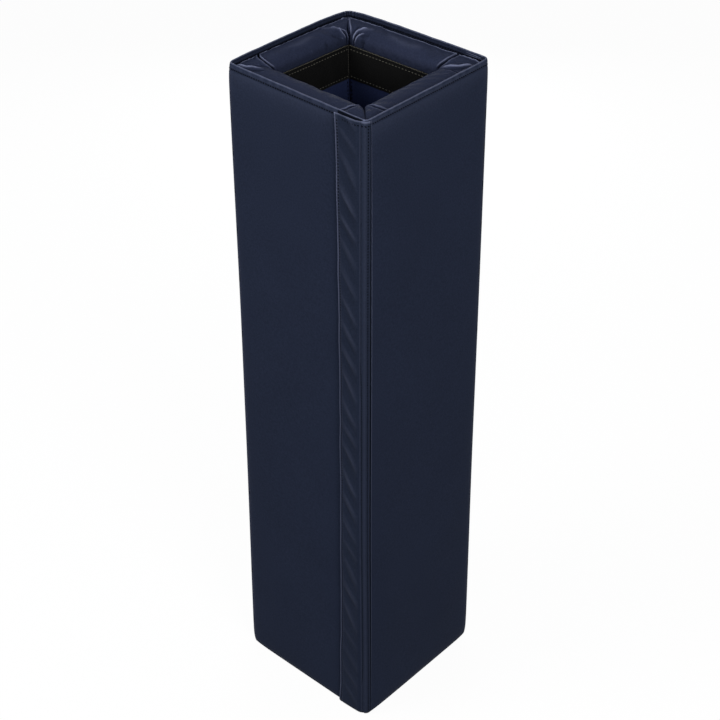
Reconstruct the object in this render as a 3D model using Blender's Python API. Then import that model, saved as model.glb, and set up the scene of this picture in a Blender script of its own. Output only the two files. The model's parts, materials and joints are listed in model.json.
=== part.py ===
"""Padded wrap for a square column.

Four foam panels stand round a square opening. Three corners are sewn hinges, and the
fourth is closed by a flap that wraps the corner and presses onto a strip of loop tape.
Metres, +Z up. The origin is on the floor in the middle of the column opening, the front
panel faces -Y, and the flap lies on the front panel beside the right panel.
"""

import math

import bmesh
import bpy
from mathutils import Vector

# Overall size
PAD_WIDTH = 0.254
PAD_HEIGHT = 1.067
WALL = 0.0508
CORNER_RADIUS = 0.0065
VINYL = 0.0012
SEAM_GAP = 0.0003
FACE_CROWN = 0.0015

# Stitched rim round the top
RIM_HEIGHT = 0.010
RIM_THICKNESS = 0.003
RIM_STITCH_DROP = 0.008
RIM_STITCH_DEPTH = 0.0004
RIM_STITCH_WIDTH = 0.0016

# Padded top end: it climbs from the rim seam to a crest and rolls over into the opening
CREST_DROP = 0.005
ROLL_RADIUS = 0.025
CREASE_DEPTH = 0.0016
CREASE_WIDTH = 0.0045
RIDGE_HEIGHT = 0.0012
RIDGE_WIDTH = 0.0060

# Bottom end: a shallow tray with turned-up edges
BASE_RADIUS = 0.005
BASE_INNER_RADIUS = 0.003

# Loop band inside the opening
BAND_HEIGHT = 0.050
BAND_THICKNESS = 0.0015

# Folded edge of the cover beside the closure
FOLD_WIDTH = 0.004
FOLD_HEIGHT = 0.0008

# Closure flap, measured from the two outer faces at the closure corner
FLAP_REACH = 0.0508
FLAP_THICKNESS = 0.0015
FLAP_PIVOT_IN = 0.008
FLAP_ROOT_LIFT = 0.001
FLAP_FLOOR_GAP = 0.001
FLAP_TOP_GAP = 0.002
FLAP_HEM = 0.005
FLAP_RIPPLE = 0.0007
FLAP_RIPPLE_PITCH = 0.042
FLAP_RIPPLE_SLANT = 0.6
TAPE_THICKNESS = 0.0014
TAPE_WIDTH = 0.0313
TAPE_END_INSET = 0.020

# Counts, and the angle in degrees past which an edge is sharp
ARC_STEPS = 9
ROLL_STEPS = 6
RISE_STEPS = 5
EDGE_STEPS = 5
CURVE_SIDES = 32
FACE_STEPS_UP = 10
FLAP_STEPS_UP = 78
SHARP_ANGLE = 40

# Where a cover and a top end have their points, as shares of half a panel
COVER_STATIONS = (0.82, 0.55, 0.2)
TOP_STATIONS = (1, 0.93, 0.87, 0.81, 0.75, 0.69, 0.63, 0.57, 0.51, 0.44, 0.3)

HALF = PAD_WIDTH / 2
HINGE_REACH = HALF - CORNER_RADIUS
NOTCH_RADIUS = CORNER_RADIUS + SEAM_GAP
ROLL_DROP = CREST_DROP + ROLL_RADIUS
# A cutter runs this far past what it cuts
CUT_MARGIN = 0.010

# How far each panel is turned from the front, in quarter turns
PANEL_TURNS = {"front": 0, "right": 1, "back": 2, "left": 3}

# Places on a top end, as distances from the corner along the panel and in from the outer
# face: a crease runs from the rim to the mitre, a ridge from the outer to the inner corner
CREASE_START = (0.055, 0.004)
CREASE_END = (0.038, 0.037)
RIDGE_START = (0.014, 0.006)
RIDGE_END = (0.044, 0.040)
PUCKER_START = (0.064, 0.017)
PUCKER_END = (0.051, 0.047)

# Strength of crease, ridge and pucker at the (low, high) end of each top end
TOP_FOLDS = {
    "front": ((0.3, 0.8, 0.0), (0.9, 0.2, 0.0)),
    "right": ((0.9, 0.2, 0.0), (0.3, 0.9, 0.0)),
    "back": ((1.0, 0.4, 0.0), (0.2, 0.3, 0.9)),
    "left": ((0.2, 0.3, 0.9), (1.0, 0.8, 0.0)),
}

# Colours as 8-bit display values, with roughness
COLOURS = {
    "cover": ((33, 39, 54), 0.48),
    "top": ((42, 47, 63), 0.45),
    "rim": ((32, 37, 52), 0.45),
    "welt": ((31, 37, 52), 0.50),
    "liner": ((20, 25, 42), 0.60),
    "foam": ((226, 222, 205), 0.95),
    "loop": ((13, 13, 13), 0.95),
    "hook": ((18, 18, 20), 0.80),
    "flap": ((37, 43, 59), 0.46),
}


def linear(value):
    """Display value from 0 to 255 as linear light."""
    share = value / 255
    return share / 12.92 if share <= 0.04045 else ((share + 0.055) / 1.055) ** 2.4


def make_material(name, kind):
    """A plain coated-cloth material for one object."""
    colour, roughness = COLOURS[kind]
    material = bpy.data.materials.new(name)
    material.use_nodes = True
    shader = material.node_tree.nodes["Principled BSDF"]
    shader.inputs["Base Color"].default_value = (*[linear(c) for c in colour], 1)
    shader.inputs["Roughness"].default_value = roughness
    shader.inputs["Metallic"].default_value = 0
    return material


def clear_scene():
    for old in list(bpy.data.objects):
        bpy.data.objects.remove(old, do_unlink=True)


def make_collection(name):
    collection = bpy.data.collections.new(name)
    bpy.context.scene.collection.children.link(collection)
    return collection


def finish_mesh(name, bm):
    """Turn the bmesh into a smooth mesh with outward faces and its sharp edges kept."""
    bmesh.ops.recalc_face_normals(bm, faces=bm.faces)
    mesh = bpy.data.meshes.new(name)
    bm.to_mesh(mesh)
    bm.free()
    mesh.shade_smooth()
    mesh.set_sharp_from_angle(angle=math.radians(SHARP_ANGLE))
    return mesh


def extrude_outline(name, points, step):
    """Close the points into one face and extrude it by the step."""
    bm = bmesh.new()
    face = bm.faces.new([bm.verts.new(p) for p in points])
    grown = bmesh.ops.extrude_face_region(bm, geom=[face])
    moved = [v for v in grown["geom"] if isinstance(v, bmesh.types.BMVert)]
    bmesh.ops.translate(bm, vec=step, verts=moved)
    return finish_mesh(name, bm)


def loft(name, sections):
    """Skin a row of closed sections that have the same number of points."""
    bm = bmesh.new()
    rings = [[bm.verts.new(p) for p in section] for section in sections]
    count = len(rings[0])
    for low, high in zip(rings, rings[1:]):
        for i in range(count):
            j = (i + 1) % count
            bm.faces.new((low[i], low[j], high[j], high[i]))
    bm.faces.new(rings[0])
    bm.faces.new(rings[-1])
    return finish_mesh(name, bm)


def plan_prism(name, outline, low, high):
    """Stand a plan outline of (x, y) points up between two heights."""
    points = [(x, y, low) for x, y in outline]
    return extrude_outline(name, points, Vector((0, 0, high - low)))


def along_panel(name, profile):
    """Run a profile of (depth, height) points past both ends of a panel."""
    reach = HALF + CUT_MARGIN
    points = [(-reach, depth - HALF, height) for depth, height in profile]
    return extrude_outline(name, points, Vector((2 * reach, 0, 0)))


def arc(centre, radius, start, end, steps):
    """Points on an arc, angles in degrees from the first axis to the second."""
    points = []
    for i in range(steps + 1):
        angle = math.radians(start + (end - start) * i / steps)
        points.append((centre[0] + radius * math.cos(angle), centre[1] + radius * math.sin(angle)))
    return points


# Plan outlines of a panel. A point is (along, depth): along the panel from its middle and
# in from its outer face. Each hinged end has a notch round the corner welt and then a mitre.


def hinged_end(skin, outer_depth, inner_depth):
    """One mitred end, from the outer to the inner depth, drawn in by a skin."""
    radius = NOTCH_RADIUS + skin
    first = math.degrees(math.acos((CORNER_RADIUS - max(outer_depth, 0)) / radius))
    last = 135 - math.degrees(math.asin((SEAM_GAP / 2 + skin) / radius))
    turned = arc((0, 0), radius, first, last, ARC_STEPS)
    points = [(HINGE_REACH - side, CORNER_RADIUS - away) for away, side in turned]
    if outer_depth < 0:
        points.insert(0, (points[0][0], outer_depth))
    mitre_shift = (SEAM_GAP / 2 + skin) * math.sqrt(2)
    points.append((HALF - inner_depth - mitre_shift, inner_depth))
    return points


def butted_end(skin, outer_depth, inner_depth):
    """The closure end of the front panel: cut square behind the corner welt, then mitred."""
    along = HALF - 2 * CORNER_RADIUS - SEAM_GAP - skin
    mitre_shift = (SEAM_GAP / 2 + skin) * math.sqrt(2)
    return [
        (along, outer_depth),
        (along, HALF - along - mitre_shift),
        (HALF - inner_depth - mitre_shift, inner_depth),
    ]


def panel_ends(side, skin, outer_depth, inner_depth):
    """Both ends of a panel as plan paths from the outer to the inner depth."""
    high_end = butted_end if side == "front" else hinged_end
    low = [(-along, depth) for along, depth in hinged_end(skin, outer_depth, inner_depth)]
    high = high_end(skin, outer_depth, inner_depth)
    return low, high


def to_plan(points):
    return [(along, depth - HALF) for along, depth in points]


def zone_mesh(side):
    """The space that a panel may fill: everything on it is cut back to this."""
    low, high = panel_ends(side, 0, -CUT_MARGIN, WALL + CUT_MARGIN)
    outline = to_plan(low + high[::-1])
    return plan_prism(f"{side}_zone", outline, -CUT_MARGIN, PAD_HEIGHT + CUT_MARGIN)


def top_curve(offset):
    """Depth and height along a top end, from the rim seam to the loop band."""
    crest = WALL - ROLL_RADIUS
    start = RIM_THICKNESS + SEAM_GAP
    rise = RIM_HEIGHT - CREST_DROP
    points = []
    for i in range(RISE_STEPS):
        share = i / RISE_STEPS
        depth = start + (crest - start) * share
        height = PAD_HEIGHT - RIM_HEIGHT + rise * math.sin(share * math.pi / 2)
        slope = rise * math.pi / 2 / (crest - start) * math.cos(share * math.pi / 2)
        length = math.hypot(1, slope)
        points.append((depth + offset * slope / length, height - offset / length))
    centre = (crest, PAD_HEIGHT - ROLL_DROP)
    return points + arc(centre, ROLL_RADIUS - offset, 90, 0, ROLL_STEPS)


def inner_space_mesh(side):
    """The space inside the covers: it shapes the foam and the tops of the liner walls."""
    skin = VINYL + SEAM_GAP
    top = top_curve(skin + CREASE_DEPTH)
    outer_chamfer = BASE_RADIUS + skin
    inner_chamfer = BASE_INNER_RADIUS + skin
    ledge = PAD_HEIGHT - ROLL_DROP - SEAM_GAP
    profile = [
        (-CUT_MARGIN, outer_chamfer + CUT_MARGIN),
        (outer_chamfer - skin, skin),
        (WALL - inner_chamfer + skin, skin),
        (WALL + CUT_MARGIN, inner_chamfer + CUT_MARGIN),
        (WALL + CUT_MARGIN, ledge),
        (top[-1][0], ledge),
        *top[-2::-1],
        (-CUT_MARGIN, top[0][1]),
    ]
    return along_panel(f"{side}_inner_space", profile)


def foam_core_mesh(side):
    skin = VINYL + SEAM_GAP
    low, high = panel_ends(side, skin, skin, WALL - skin)
    outline = to_plan(low + high[::-1])
    return plan_prism(f"{side}_foam_core", outline, 0, PAD_HEIGHT)


def inner_liner_mesh(side):
    """A sheet that lines both mitres and the inner face."""
    start = VINYL + SEAM_GAP
    low, high = panel_ends(side, 0, start, WALL)
    low_back, high_back = panel_ends(side, VINYL, start, WALL - VINYL)
    outline = to_plan(low + high[::-1] + high_back + low_back[::-1])
    return plan_prism(f"{side}_inner_liner", outline, BASE_INNER_RADIUS + SEAM_GAP, PAD_HEIGHT)


def face_bulge(side, along, height):
    """How far an outer cover stands proud of the corner line."""
    low = -HINGE_REACH
    high = HALF - FLAP_REACH if side == "front" else HINGE_REACH
    across = min(max((along - low) / (high - low), 0), 1)
    up = min(max(height / (PAD_HEIGHT - RIM_HEIGHT), 0), 1)
    bulge = FACE_CROWN * (1 - (2 * across - 1) ** 4) * (1 - (2 * up - 1) ** 8)
    if side == "right":
        past_edge = along + HINGE_REACH
        bulge += FOLD_HEIGHT * max(0, 1 - (past_edge / FOLD_WIDTH - 1) ** 2)
    return bulge


def outer_cover_mesh(side):
    """A crowned sheet from the bottom tray to the rim."""
    reach = HINGE_REACH
    fold = [-reach + FOLD_WIDTH * share for share in (0.5, 1, 1.5, 2)]
    spread = [reach * share for share in COVER_STATIONS]
    alongs = [-reach, *(fold if side == "right" else [])]
    alongs += [-along for along in spread] + spread[::-1] + [reach]
    low = BASE_RADIUS + SEAM_GAP
    high = PAD_HEIGHT - RIM_HEIGHT - SEAM_GAP
    sections = []
    for i in range(FACE_STEPS_UP + 1):
        share = i / FACE_STEPS_UP
        height = low + (high - low) * (share - math.sin(4 * math.pi * share) / (6 * math.pi))
        outer = [(a, -HALF - face_bulge(side, a, height), height) for a in alongs]
        inner = [(x, y + VINYL, z) for x, y, z in outer]
        sections.append(outer + inner[::-1])
    return loft(f"{side}_outer_cover", sections)


def fold_shape(point, start, end, width):
    """1 on the line between two places, fading to 0 beside it and past its ends."""
    run = (end[0] - start[0], end[1] - start[1])
    length = math.hypot(*run)
    away = (point[0] - start[0], point[1] - start[1])
    share = (away[0] * run[0] + away[1] * run[1]) / length**2
    beside = (away[0] * run[1] - away[1] * run[0]) / length
    past = max(-share, share - 1, 0) * length
    return math.exp(-(beside**2 + past**2) / width**2)


def top_lift(side, along, depth):
    """Folds of a top end: creases sink and ridges stand, by each corner's strengths."""
    crease, ridge, pucker = TOP_FOLDS[side][1 if along > 0 else 0]
    point = (HALF - abs(along), depth)
    lift = -CREASE_DEPTH * crease * fold_shape(point, CREASE_START, CREASE_END, CREASE_WIDTH)
    lift += RIDGE_HEIGHT * ridge * fold_shape(point, RIDGE_START, RIDGE_END, RIDGE_WIDTH)
    lift += RIDGE_HEIGHT * pucker * fold_shape(point, PUCKER_START, PUCKER_END, CREASE_WIDTH)
    return max(lift, -CREASE_DEPTH)


def top_end_mesh(side):
    """A crowned, pleated sheet that rolls over the foam into the opening."""
    outer_curve = top_curve(0)
    inner_curve = top_curve(VINYL)
    stations = [-share for share in TOP_STATIONS] + [0, *TOP_STATIONS[::-1]]
    sections = []
    for station in stations:
        outer = []
        inner = []
        for (depth, height), (deep, under) in zip(outer_curve, inner_curve):
            along = station * (HALF - depth + CORNER_RADIUS)
            lift = top_lift(side, along, depth) / VINYL
            away = (depth - deep) * lift
            up = (height - under) * lift
            outer.append((along, depth + away - HALF, height + up))
            inner.append((along, deep + away - HALF, under + up))
        sections.append(outer + inner[::-1])
    return loft(f"{side}_top_end", sections)


def rim_hem_mesh(side):
    """A folded strip that stands above the top seam, with a stitch groove outside."""
    top = PAD_HEIGHT
    groove = top - RIM_STITCH_DROP
    radius = RIM_THICKNESS / 2
    profile = [
        (0, top - RIM_HEIGHT),
        (0, groove - RIM_STITCH_WIDTH / 2),
        (RIM_STITCH_DEPTH, groove),
        (0, groove + RIM_STITCH_WIDTH / 2),
        *arc((radius, top - radius), radius, 180, 0, EDGE_STEPS),
        (RIM_THICKNESS, top - RIM_HEIGHT),
    ]
    return along_panel(f"{side}_rim_hem", profile)


def bottom_end_mesh(side):
    """A shallow tray: flat on the floor, with its edges turned up to the covers."""
    near = (BASE_RADIUS, BASE_RADIUS)
    far = (WALL - BASE_INNER_RADIUS, BASE_INNER_RADIUS)
    outer = arc(near, BASE_RADIUS, 180, 270, EDGE_STEPS)
    outer += arc(far, BASE_INNER_RADIUS, 270, 360, EDGE_STEPS)
    inner = arc(near, BASE_RADIUS - VINYL, 180, 270, EDGE_STEPS)
    inner += arc(far, BASE_INNER_RADIUS - VINYL, 270, 360, EDGE_STEPS)
    return along_panel(f"{side}_bottom_end", outer + inner[::-1])


def loop_band_mesh(side):
    """A flat band of loop pile on the inner face, mitred to its neighbours."""
    shift = SEAM_GAP / math.sqrt(2)
    front = WALL + SEAM_GAP
    back = front + BAND_THICKNESS
    outline = []
    for depth, sign in ((front, -1), (front, 1), (back, 1), (back, -1)):
        outline.append((sign * (HALF - depth - shift), depth - HALF))
    top = PAD_HEIGHT - ROLL_DROP
    return plan_prism(f"{side}_loop_band", outline, top - BAND_HEIGHT, top)


PANEL_PIECES = (
    ("foam_core", foam_core_mesh, "foam", "inner_space"),
    ("outer_cover", outer_cover_mesh, "cover", "zone"),
    ("inner_liner", inner_liner_mesh, "liner", "inner_space"),
    ("top_end", top_end_mesh, "top", "zone"),
    ("rim_hem", rim_hem_mesh, "rim", "zone"),
    ("bottom_end", bottom_end_mesh, "welt", "zone"),
    ("loop_band", loop_band_mesh, "loop", None),
)


def welt_mesh(name):
    """A round corner roll that opens into a half ring where the rim turns the corner."""
    bm = bmesh.new()
    bmesh.ops.create_cone(
        bm,
        cap_ends=True,
        segments=CURVE_SIDES,
        radius1=CORNER_RADIUS,
        radius2=CORNER_RADIUS,
        depth=PAD_HEIGHT,
    )
    bmesh.ops.translate(bm, vec=(0, 0, PAD_HEIGHT / 2), verts=bm.verts)
    return finish_mesh(name, bm)


def welt_core_mesh(name):
    """What is hollowed out of a corner roll at the rim: its core and its inner half."""
    bm = bmesh.new()
    bmesh.ops.create_cone(
        bm,
        cap_ends=True,
        segments=CURVE_SIDES,
        radius1=CORNER_RADIUS - RIM_THICKNESS,
        radius2=CORNER_RADIUS - RIM_THICKNESS,
        depth=2 * RIM_HEIGHT,
    )
    return finish_mesh(name, bm)


def half_block_mesh(name):
    """A block on the inner side of a corner roll, above the top seam."""
    size = 4 * CORNER_RADIUS
    bm = bmesh.new()
    bmesh.ops.create_cube(bm, size=1)
    bmesh.ops.scale(bm, vec=(size, size, 2 * RIM_HEIGHT), verts=bm.verts)
    bmesh.ops.translate(bm, vec=(0, size / 2, 0), verts=bm.verts)
    return finish_mesh(name, bm)


def from_closure(inward, outward):
    """World x, y of a place measured from the right face inward and the front face outward."""
    return HALF - inward, -HALF - outward


def root_band_mesh(name):
    """The fixed root of the flap: it bends round the corner welt and ends at the flap."""
    inward = FLAP_PIVOT_IN + SEAM_GAP
    outward = CORNER_RADIUS + FLAP_ROOT_LIFT
    outline = []
    for grow, order in ((0, 1), (FLAP_THICKNESS, -1)):
        bend = []
        for i in range(ARC_STEPS + 1):
            angle = math.pi / 2 * i / ARC_STEPS
            side = FLAP_PIVOT_IN - (inward + grow) * math.cos(angle)
            away = -CORNER_RADIUS + (outward + grow) * math.sin(angle)
            bend.append(from_closure(side, away))
        outline += bend[::order]
    return plan_prism(name, outline, FLAP_FLOOR_GAP, PAD_HEIGHT - FLAP_TOP_GAP)


def flap_lift():
    """Height of the flap's underside over the two tapes."""
    return 3 * SEAM_GAP + 2 * TAPE_THICKNESS


def flap_ripple(inward, height):
    """Ripples between the flap's two stitch lines, which run down towards the corner."""
    span = FLAP_REACH - FLAP_HEM - FLAP_PIVOT_IN
    across = min(max((inward - FLAP_PIVOT_IN) / span, 0), 1)
    turn = 2 * math.pi * (height - FLAP_RIPPLE_SLANT * inward) / FLAP_RIPPLE_PITCH
    wave = 0.5 + 0.35 * math.sin(turn) + 0.15 * math.sin(2.3 * turn)
    return FLAP_RIPPLE * wave * math.sin(math.pi * across)


def flap_mesh(name):
    """The loose leaf of the closure, from its fold line to its hemmed free edge."""
    tape_near = FLAP_REACH - FLAP_HEM - TAPE_WIDTH
    tape_far = FLAP_REACH - FLAP_HEM
    near = FLAP_PIVOT_IN + SEAM_GAP / 2
    outer_places = [near, (near + tape_near) / 2, tape_near]
    outer_places += [tape_near + TAPE_WIDTH * share for share in (0.25, 0.5, 0.75, 1)]
    outer_places += [FLAP_REACH - FLAP_THICKNESS / 2, FLAP_REACH]
    low = FLAP_FLOOR_GAP
    high = PAD_HEIGHT - FLAP_TOP_GAP
    sections = []
    for i in range(FLAP_STEPS_UP + 1):
        height = low + (high - low) * i / FLAP_STEPS_UP
        section = []
        for inward in outer_places:
            rise = min(max((inward - near) / (tape_near - near), 0), 1)
            away = FLAP_ROOT_LIFT + (flap_lift() - FLAP_ROOT_LIFT) * rise + FLAP_THICKNESS
            away += flap_ripple(inward, height)
            if inward == outer_places[-1]:
                away -= FLAP_THICKNESS / 2
            section.append((*from_closure(inward, away), height))
        for inward, away in (
            (FLAP_REACH - FLAP_THICKNESS / 2, flap_lift()),
            (tape_far, flap_lift()),
            (tape_near, flap_lift()),
            (near, FLAP_ROOT_LIFT),
        ):
            section.append((*from_closure(inward, away), height))
        sections.append(section)
    return loft(name, sections)


def tape_mesh(name, outward):
    """A straight strip of tape under the flap."""
    near = FLAP_REACH - FLAP_HEM - TAPE_WIDTH
    length = PAD_HEIGHT - 2 * TAPE_END_INSET
    bm = bmesh.new()
    bmesh.ops.create_cube(bm, size=1)
    bmesh.ops.scale(bm, vec=(TAPE_WIDTH, TAPE_THICKNESS, length), verts=bm.verts)
    x, y = from_closure(near + TAPE_WIDTH / 2, outward + TAPE_THICKNESS / 2)
    bmesh.ops.translate(bm, vec=(x, y, PAD_HEIGHT / 2), verts=bm.verts)
    return finish_mesh(name, bm)


class Builder:
    """Places meshes as named objects under the pivots of the panels."""

    def __init__(self):
        self.parts = make_collection("column_pad")
        self.cutters = make_collection("cutters")

    def pivot(self, name, place, parent=None):
        """An empty on a hinge axis."""
        empty = bpy.data.objects.new(name, None)
        empty.empty_display_size = CORNER_RADIUS
        self.parts.objects.link(empty)
        empty.parent = parent
        above = parent["place"] if parent else (0, 0, 0)
        empty.location = Vector(place) - Vector(above)
        empty["place"] = place
        return empty

    def place(self, obj, parent, turns):
        """Put an object made about the column's axis under its pivot, turned to its side."""
        obj.parent = parent
        obj.location = -Vector(parent["place"])
        obj.rotation_euler.z = turns * math.pi / 2

    def part(self, name, mesh, kind, parent, turns=0):
        obj = bpy.data.objects.new(name, mesh)
        obj.data.materials.append(make_material(f"{name}_{kind}", kind))
        self.parts.objects.link(obj)
        self.place(obj, parent, turns)
        return obj

    def cutter(self, mesh, parent, turns):
        obj = bpy.data.objects.new(mesh.name, mesh)
        obj.hide_render = True
        obj.display_type = "WIRE"
        self.cutters.objects.link(obj)
        self.place(obj, parent, turns)
        return obj

    def cut(self, obj, cutter, operation):
        modifier = obj.modifiers.new(cutter.name, "BOOLEAN")
        modifier.operation = operation
        modifier.object = cutter
        modifier.solver = "EXACT"

    def panel(self, side, pivot):
        """One padded panel: its foam, its covers, its ends, its rim and its loop band."""
        turns = PANEL_TURNS[side]
        cutters = {
            "zone": self.cutter(zone_mesh(side), pivot, turns),
            "inner_space": self.cutter(inner_space_mesh(side), pivot, turns),
        }
        for piece, make_mesh, kind, limit in PANEL_PIECES:
            obj = self.part(f"{side}_{piece}", make_mesh(side), kind, pivot, turns)
            if limit:
                self.cut(obj, cutters[limit], "INTERSECT")

    def welt(self, name, pivot, corner):
        """A corner roll at a corner given as signs of x and y."""
        x, y = corner[0] * HINGE_REACH, corner[1] * HINGE_REACH
        roll = self.part(name, welt_mesh(name), "welt", pivot)
        roll.location += Vector((x, y, 0))
        inward = math.atan2(-corner[1], -corner[0]) - math.pi / 2
        for make_mesh, label in ((welt_core_mesh, "core"), (half_block_mesh, "half")):
            cutter = self.cutter(make_mesh(f"{name}_{label}"), pivot, 0)
            cutter.location += Vector((x, y, PAD_HEIGHT))
            cutter.rotation_euler.z = inward
            self.cut(roll, cutter, "DIFFERENCE")


def build():
    clear_scene()
    builder = Builder()
    reach = HINGE_REACH
    flap_x, flap_y = from_closure(FLAP_PIVOT_IN, FLAP_ROOT_LIFT + FLAP_THICKNESS)
    back = builder.pivot("back_panel_base", (0, 0, 0))
    left = builder.pivot("left_panel_pivot", (-reach, reach, 0), back)
    front = builder.pivot("front_panel_pivot", (-reach, -reach, 0), left)
    right = builder.pivot("right_panel_pivot", (reach, reach, 0), back)
    flap = builder.pivot("flap_pivot", (flap_x, flap_y, 0), right)

    for side, pivot in (("back", back), ("left", left), ("front", front), ("right", right)):
        builder.panel(side, pivot)

    builder.welt("hinge_welt_back_left", back, (-1, 1))
    builder.welt("hinge_welt_back_right", back, (1, 1))
    builder.welt("hinge_welt_front_left", left, (-1, -1))
    builder.welt("closure_corner_welt", right, (1, -1))

    loop_at = SEAM_GAP
    hook_at = loop_at + TAPE_THICKNESS + SEAM_GAP
    builder.part("front_loop_tape", tape_mesh("front_loop_tape", loop_at), "loop", front)
    builder.part("flap_root_band", root_band_mesh("flap_root_band"), "flap", right)
    builder.part("closure_flap", flap_mesh("closure_flap"), "flap", flap)
    builder.part("flap_hook_tape", tape_mesh("flap_hook_tape", hook_at), "hook", flap)


build()
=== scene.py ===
"""Looks of the column pad: coated cloth sewn over foam panels, on a white studio floor.

Metres, in the frame of the CAD. The camera looks at the corner where the flap closes, with
the front panel on its left and the right panel on its right.
"""

import json
import math

import bpy
import numpy as np
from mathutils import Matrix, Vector


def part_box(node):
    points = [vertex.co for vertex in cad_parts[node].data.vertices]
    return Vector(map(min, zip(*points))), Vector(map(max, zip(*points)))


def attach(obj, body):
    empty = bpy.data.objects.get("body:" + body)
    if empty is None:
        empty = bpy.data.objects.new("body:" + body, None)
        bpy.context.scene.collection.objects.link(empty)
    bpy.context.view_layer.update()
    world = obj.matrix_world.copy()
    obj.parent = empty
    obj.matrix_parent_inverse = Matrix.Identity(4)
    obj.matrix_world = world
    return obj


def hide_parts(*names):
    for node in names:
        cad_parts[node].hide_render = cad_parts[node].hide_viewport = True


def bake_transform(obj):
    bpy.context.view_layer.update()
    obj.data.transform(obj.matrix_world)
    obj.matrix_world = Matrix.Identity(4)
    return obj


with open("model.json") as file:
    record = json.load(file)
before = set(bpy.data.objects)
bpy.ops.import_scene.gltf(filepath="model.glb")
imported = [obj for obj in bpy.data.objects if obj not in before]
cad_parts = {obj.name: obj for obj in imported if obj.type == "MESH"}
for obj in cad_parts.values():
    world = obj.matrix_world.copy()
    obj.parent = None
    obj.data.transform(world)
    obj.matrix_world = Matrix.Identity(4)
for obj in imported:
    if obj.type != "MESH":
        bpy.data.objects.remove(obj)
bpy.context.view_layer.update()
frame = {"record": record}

# Sizes that the frame gives
RIM_LOW, RIM_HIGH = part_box("front_rim_hem")
HEIGHT = RIM_HIGH.z
HALF = -RIM_LOW.y
RIM_HEIGHT = RIM_HIGH.z - RIM_LOW.z
RIM_THICKNESS = RIM_HIGH.y - RIM_LOW.y
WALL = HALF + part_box("front_inner_liner")[1].y
CORNER_LOW, CORNER_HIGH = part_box("closure_corner_welt")
CORNER_RADIUS = (CORNER_HIGH.x - CORNER_LOW.x) / 2
REACH = HALF - CORNER_RADIUS
BAND_LOW, BAND_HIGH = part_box("front_loop_band")
LEAF_LOW, LEAF_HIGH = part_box("closure_flap")
LEAF_REACH = HALF - LEAF_LOW.x
FOLD_INWARD = HALF - LEAF_HIGH.x
HOOK_LOW, HOOK_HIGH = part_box("flap_hook_tape")
LOOP_LOW, LOOP_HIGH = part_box("front_loop_tape")
ROOT_LOW, ROOT_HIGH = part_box("flap_root_band")

# Thickness of the coated cloth, and half of the gap between two panels at a mitre
CLOTH = 0.0012
SEAM = 0.00015
# Padded top: it climbs from the rim seam to a crest and rolls over into the opening. How far
# the seam and the crest lie under the rim's top, and the radius of the roll.
PAD_DROP = 0.0090
CREST_DROP = 0.0056
ROLL_RADIUS = 0.025
PAD_START = RIM_THICKNESS + 0.0003
# Depth of the welt line along a padded top's outer edge, which carries a painted highlight, at its low and
# high end
WELT = {"front": (0.0060, 0.0060), "right": (0.0060, 0.0060), "back": (0.0080, 0.0120),
        "left": (0.0092, 0.0052)}
PAD_CREST = WALL - ROLL_RADIUS
# How far the foam lies under the padded top, and ends short of the mitres
FOAM_UNDER = 0.0110
FOAM_SHORT = 0.0095
# How far the lining ends under the padded top, inside the mitres
LINING_UNDER = 0.0034
BAND_TOP = BAND_HIGH.z + 0.0025
MITRE_GAP = SEAM * math.sqrt(2)

# Rim, with the groove that its stitches lie in and the puff above it, faces and base
RIM_SEAM = HEIGHT - RIM_HEIGHT
RIM_STITCH_HEIGHT = HEIGHT - 0.0084
RIM_GROOVE = 0.0006
RIM_PUFF = 0.0003
FACE_BULGE = 0.0019
BASE_RADIUS = 0.005
BASE_INNER_RADIUS = 0.003
BASE_CLOTH = 0.001
END_WALL_CLOTH = 0.0009

# Closure flap: lifts are out from the front face, and reaches are in from the right face
LEAF_THICKNESS = 0.0015
LEAF_LIFT = -HALF - HOOK_LOW.y + 0.0003
LEAF_WRINKLE = 0.0010
LEAF_EDGE = HALF - LEAF_REACH
ROOT_LIFT = 0.001
FREE_ROW = LEAF_REACH - 0.0038
# How far in from the right face the leaf's fold ends and its wrinkles begin
LEAF_START = 0.0102
# How far the free edge bows towards the corner at mid height, and flares out at the foot
FREE_EDGE_BOW = 0.0047
FREE_FOOT_FLARE = 0.0036
# How far the hem's stitches lie under the flap's top, and the hem's pressed edge
FLAP_HEM = 0.0068
HEM_THINNING = 0.0009
# Where the flap bends as it peels: from the right face inward, and out from the front face
BEND_START = 0.0068
BEND_END = 0.0145
BEND_OUT = 0.0025
# Root's stitches, in degrees round the corner, and its groove past the corner, as a share
ROOT_STITCH_ANGLE = 22
ROOT_GROOVE_SHARE = 0.45

# How far the soft corners have drifted at the top and the foot, by plan corner, in metres
# along X, Y and Z, and how far up and down the pad the drift fades
TOP_DRIFT = {(-1, -1): (-0.0018, -0.0011, 0.0), (1, -1): (0.0015, -0.0015, -0.0020),
             (1, 1): (0.0010, -0.0027, 0.0), (-1, 1): (-0.0050, -0.0080, 0.0)}
FOOT_DRIFT = {(-1, -1): (-0.0042, 0.0020, 0.0), (1, -1): (0.0046, -0.0010, 0.0),
              (1, 1): (-0.0010, 0.0041, 0.0020)}
DRIFT_DEPTH = 0.45
# How far the back-left corner of the top hangs down
BACK_SAG = 0.0020
# The left pad is thinner at the opening: all along, most at its middle, and towards the
# front, where the loop band also stands higher
INNER_DRIFT = 0.0065
INNER_BOW = 0.0020
INNER_SKEW = 0.0022
BAND_RAISE = 0.0024
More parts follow.
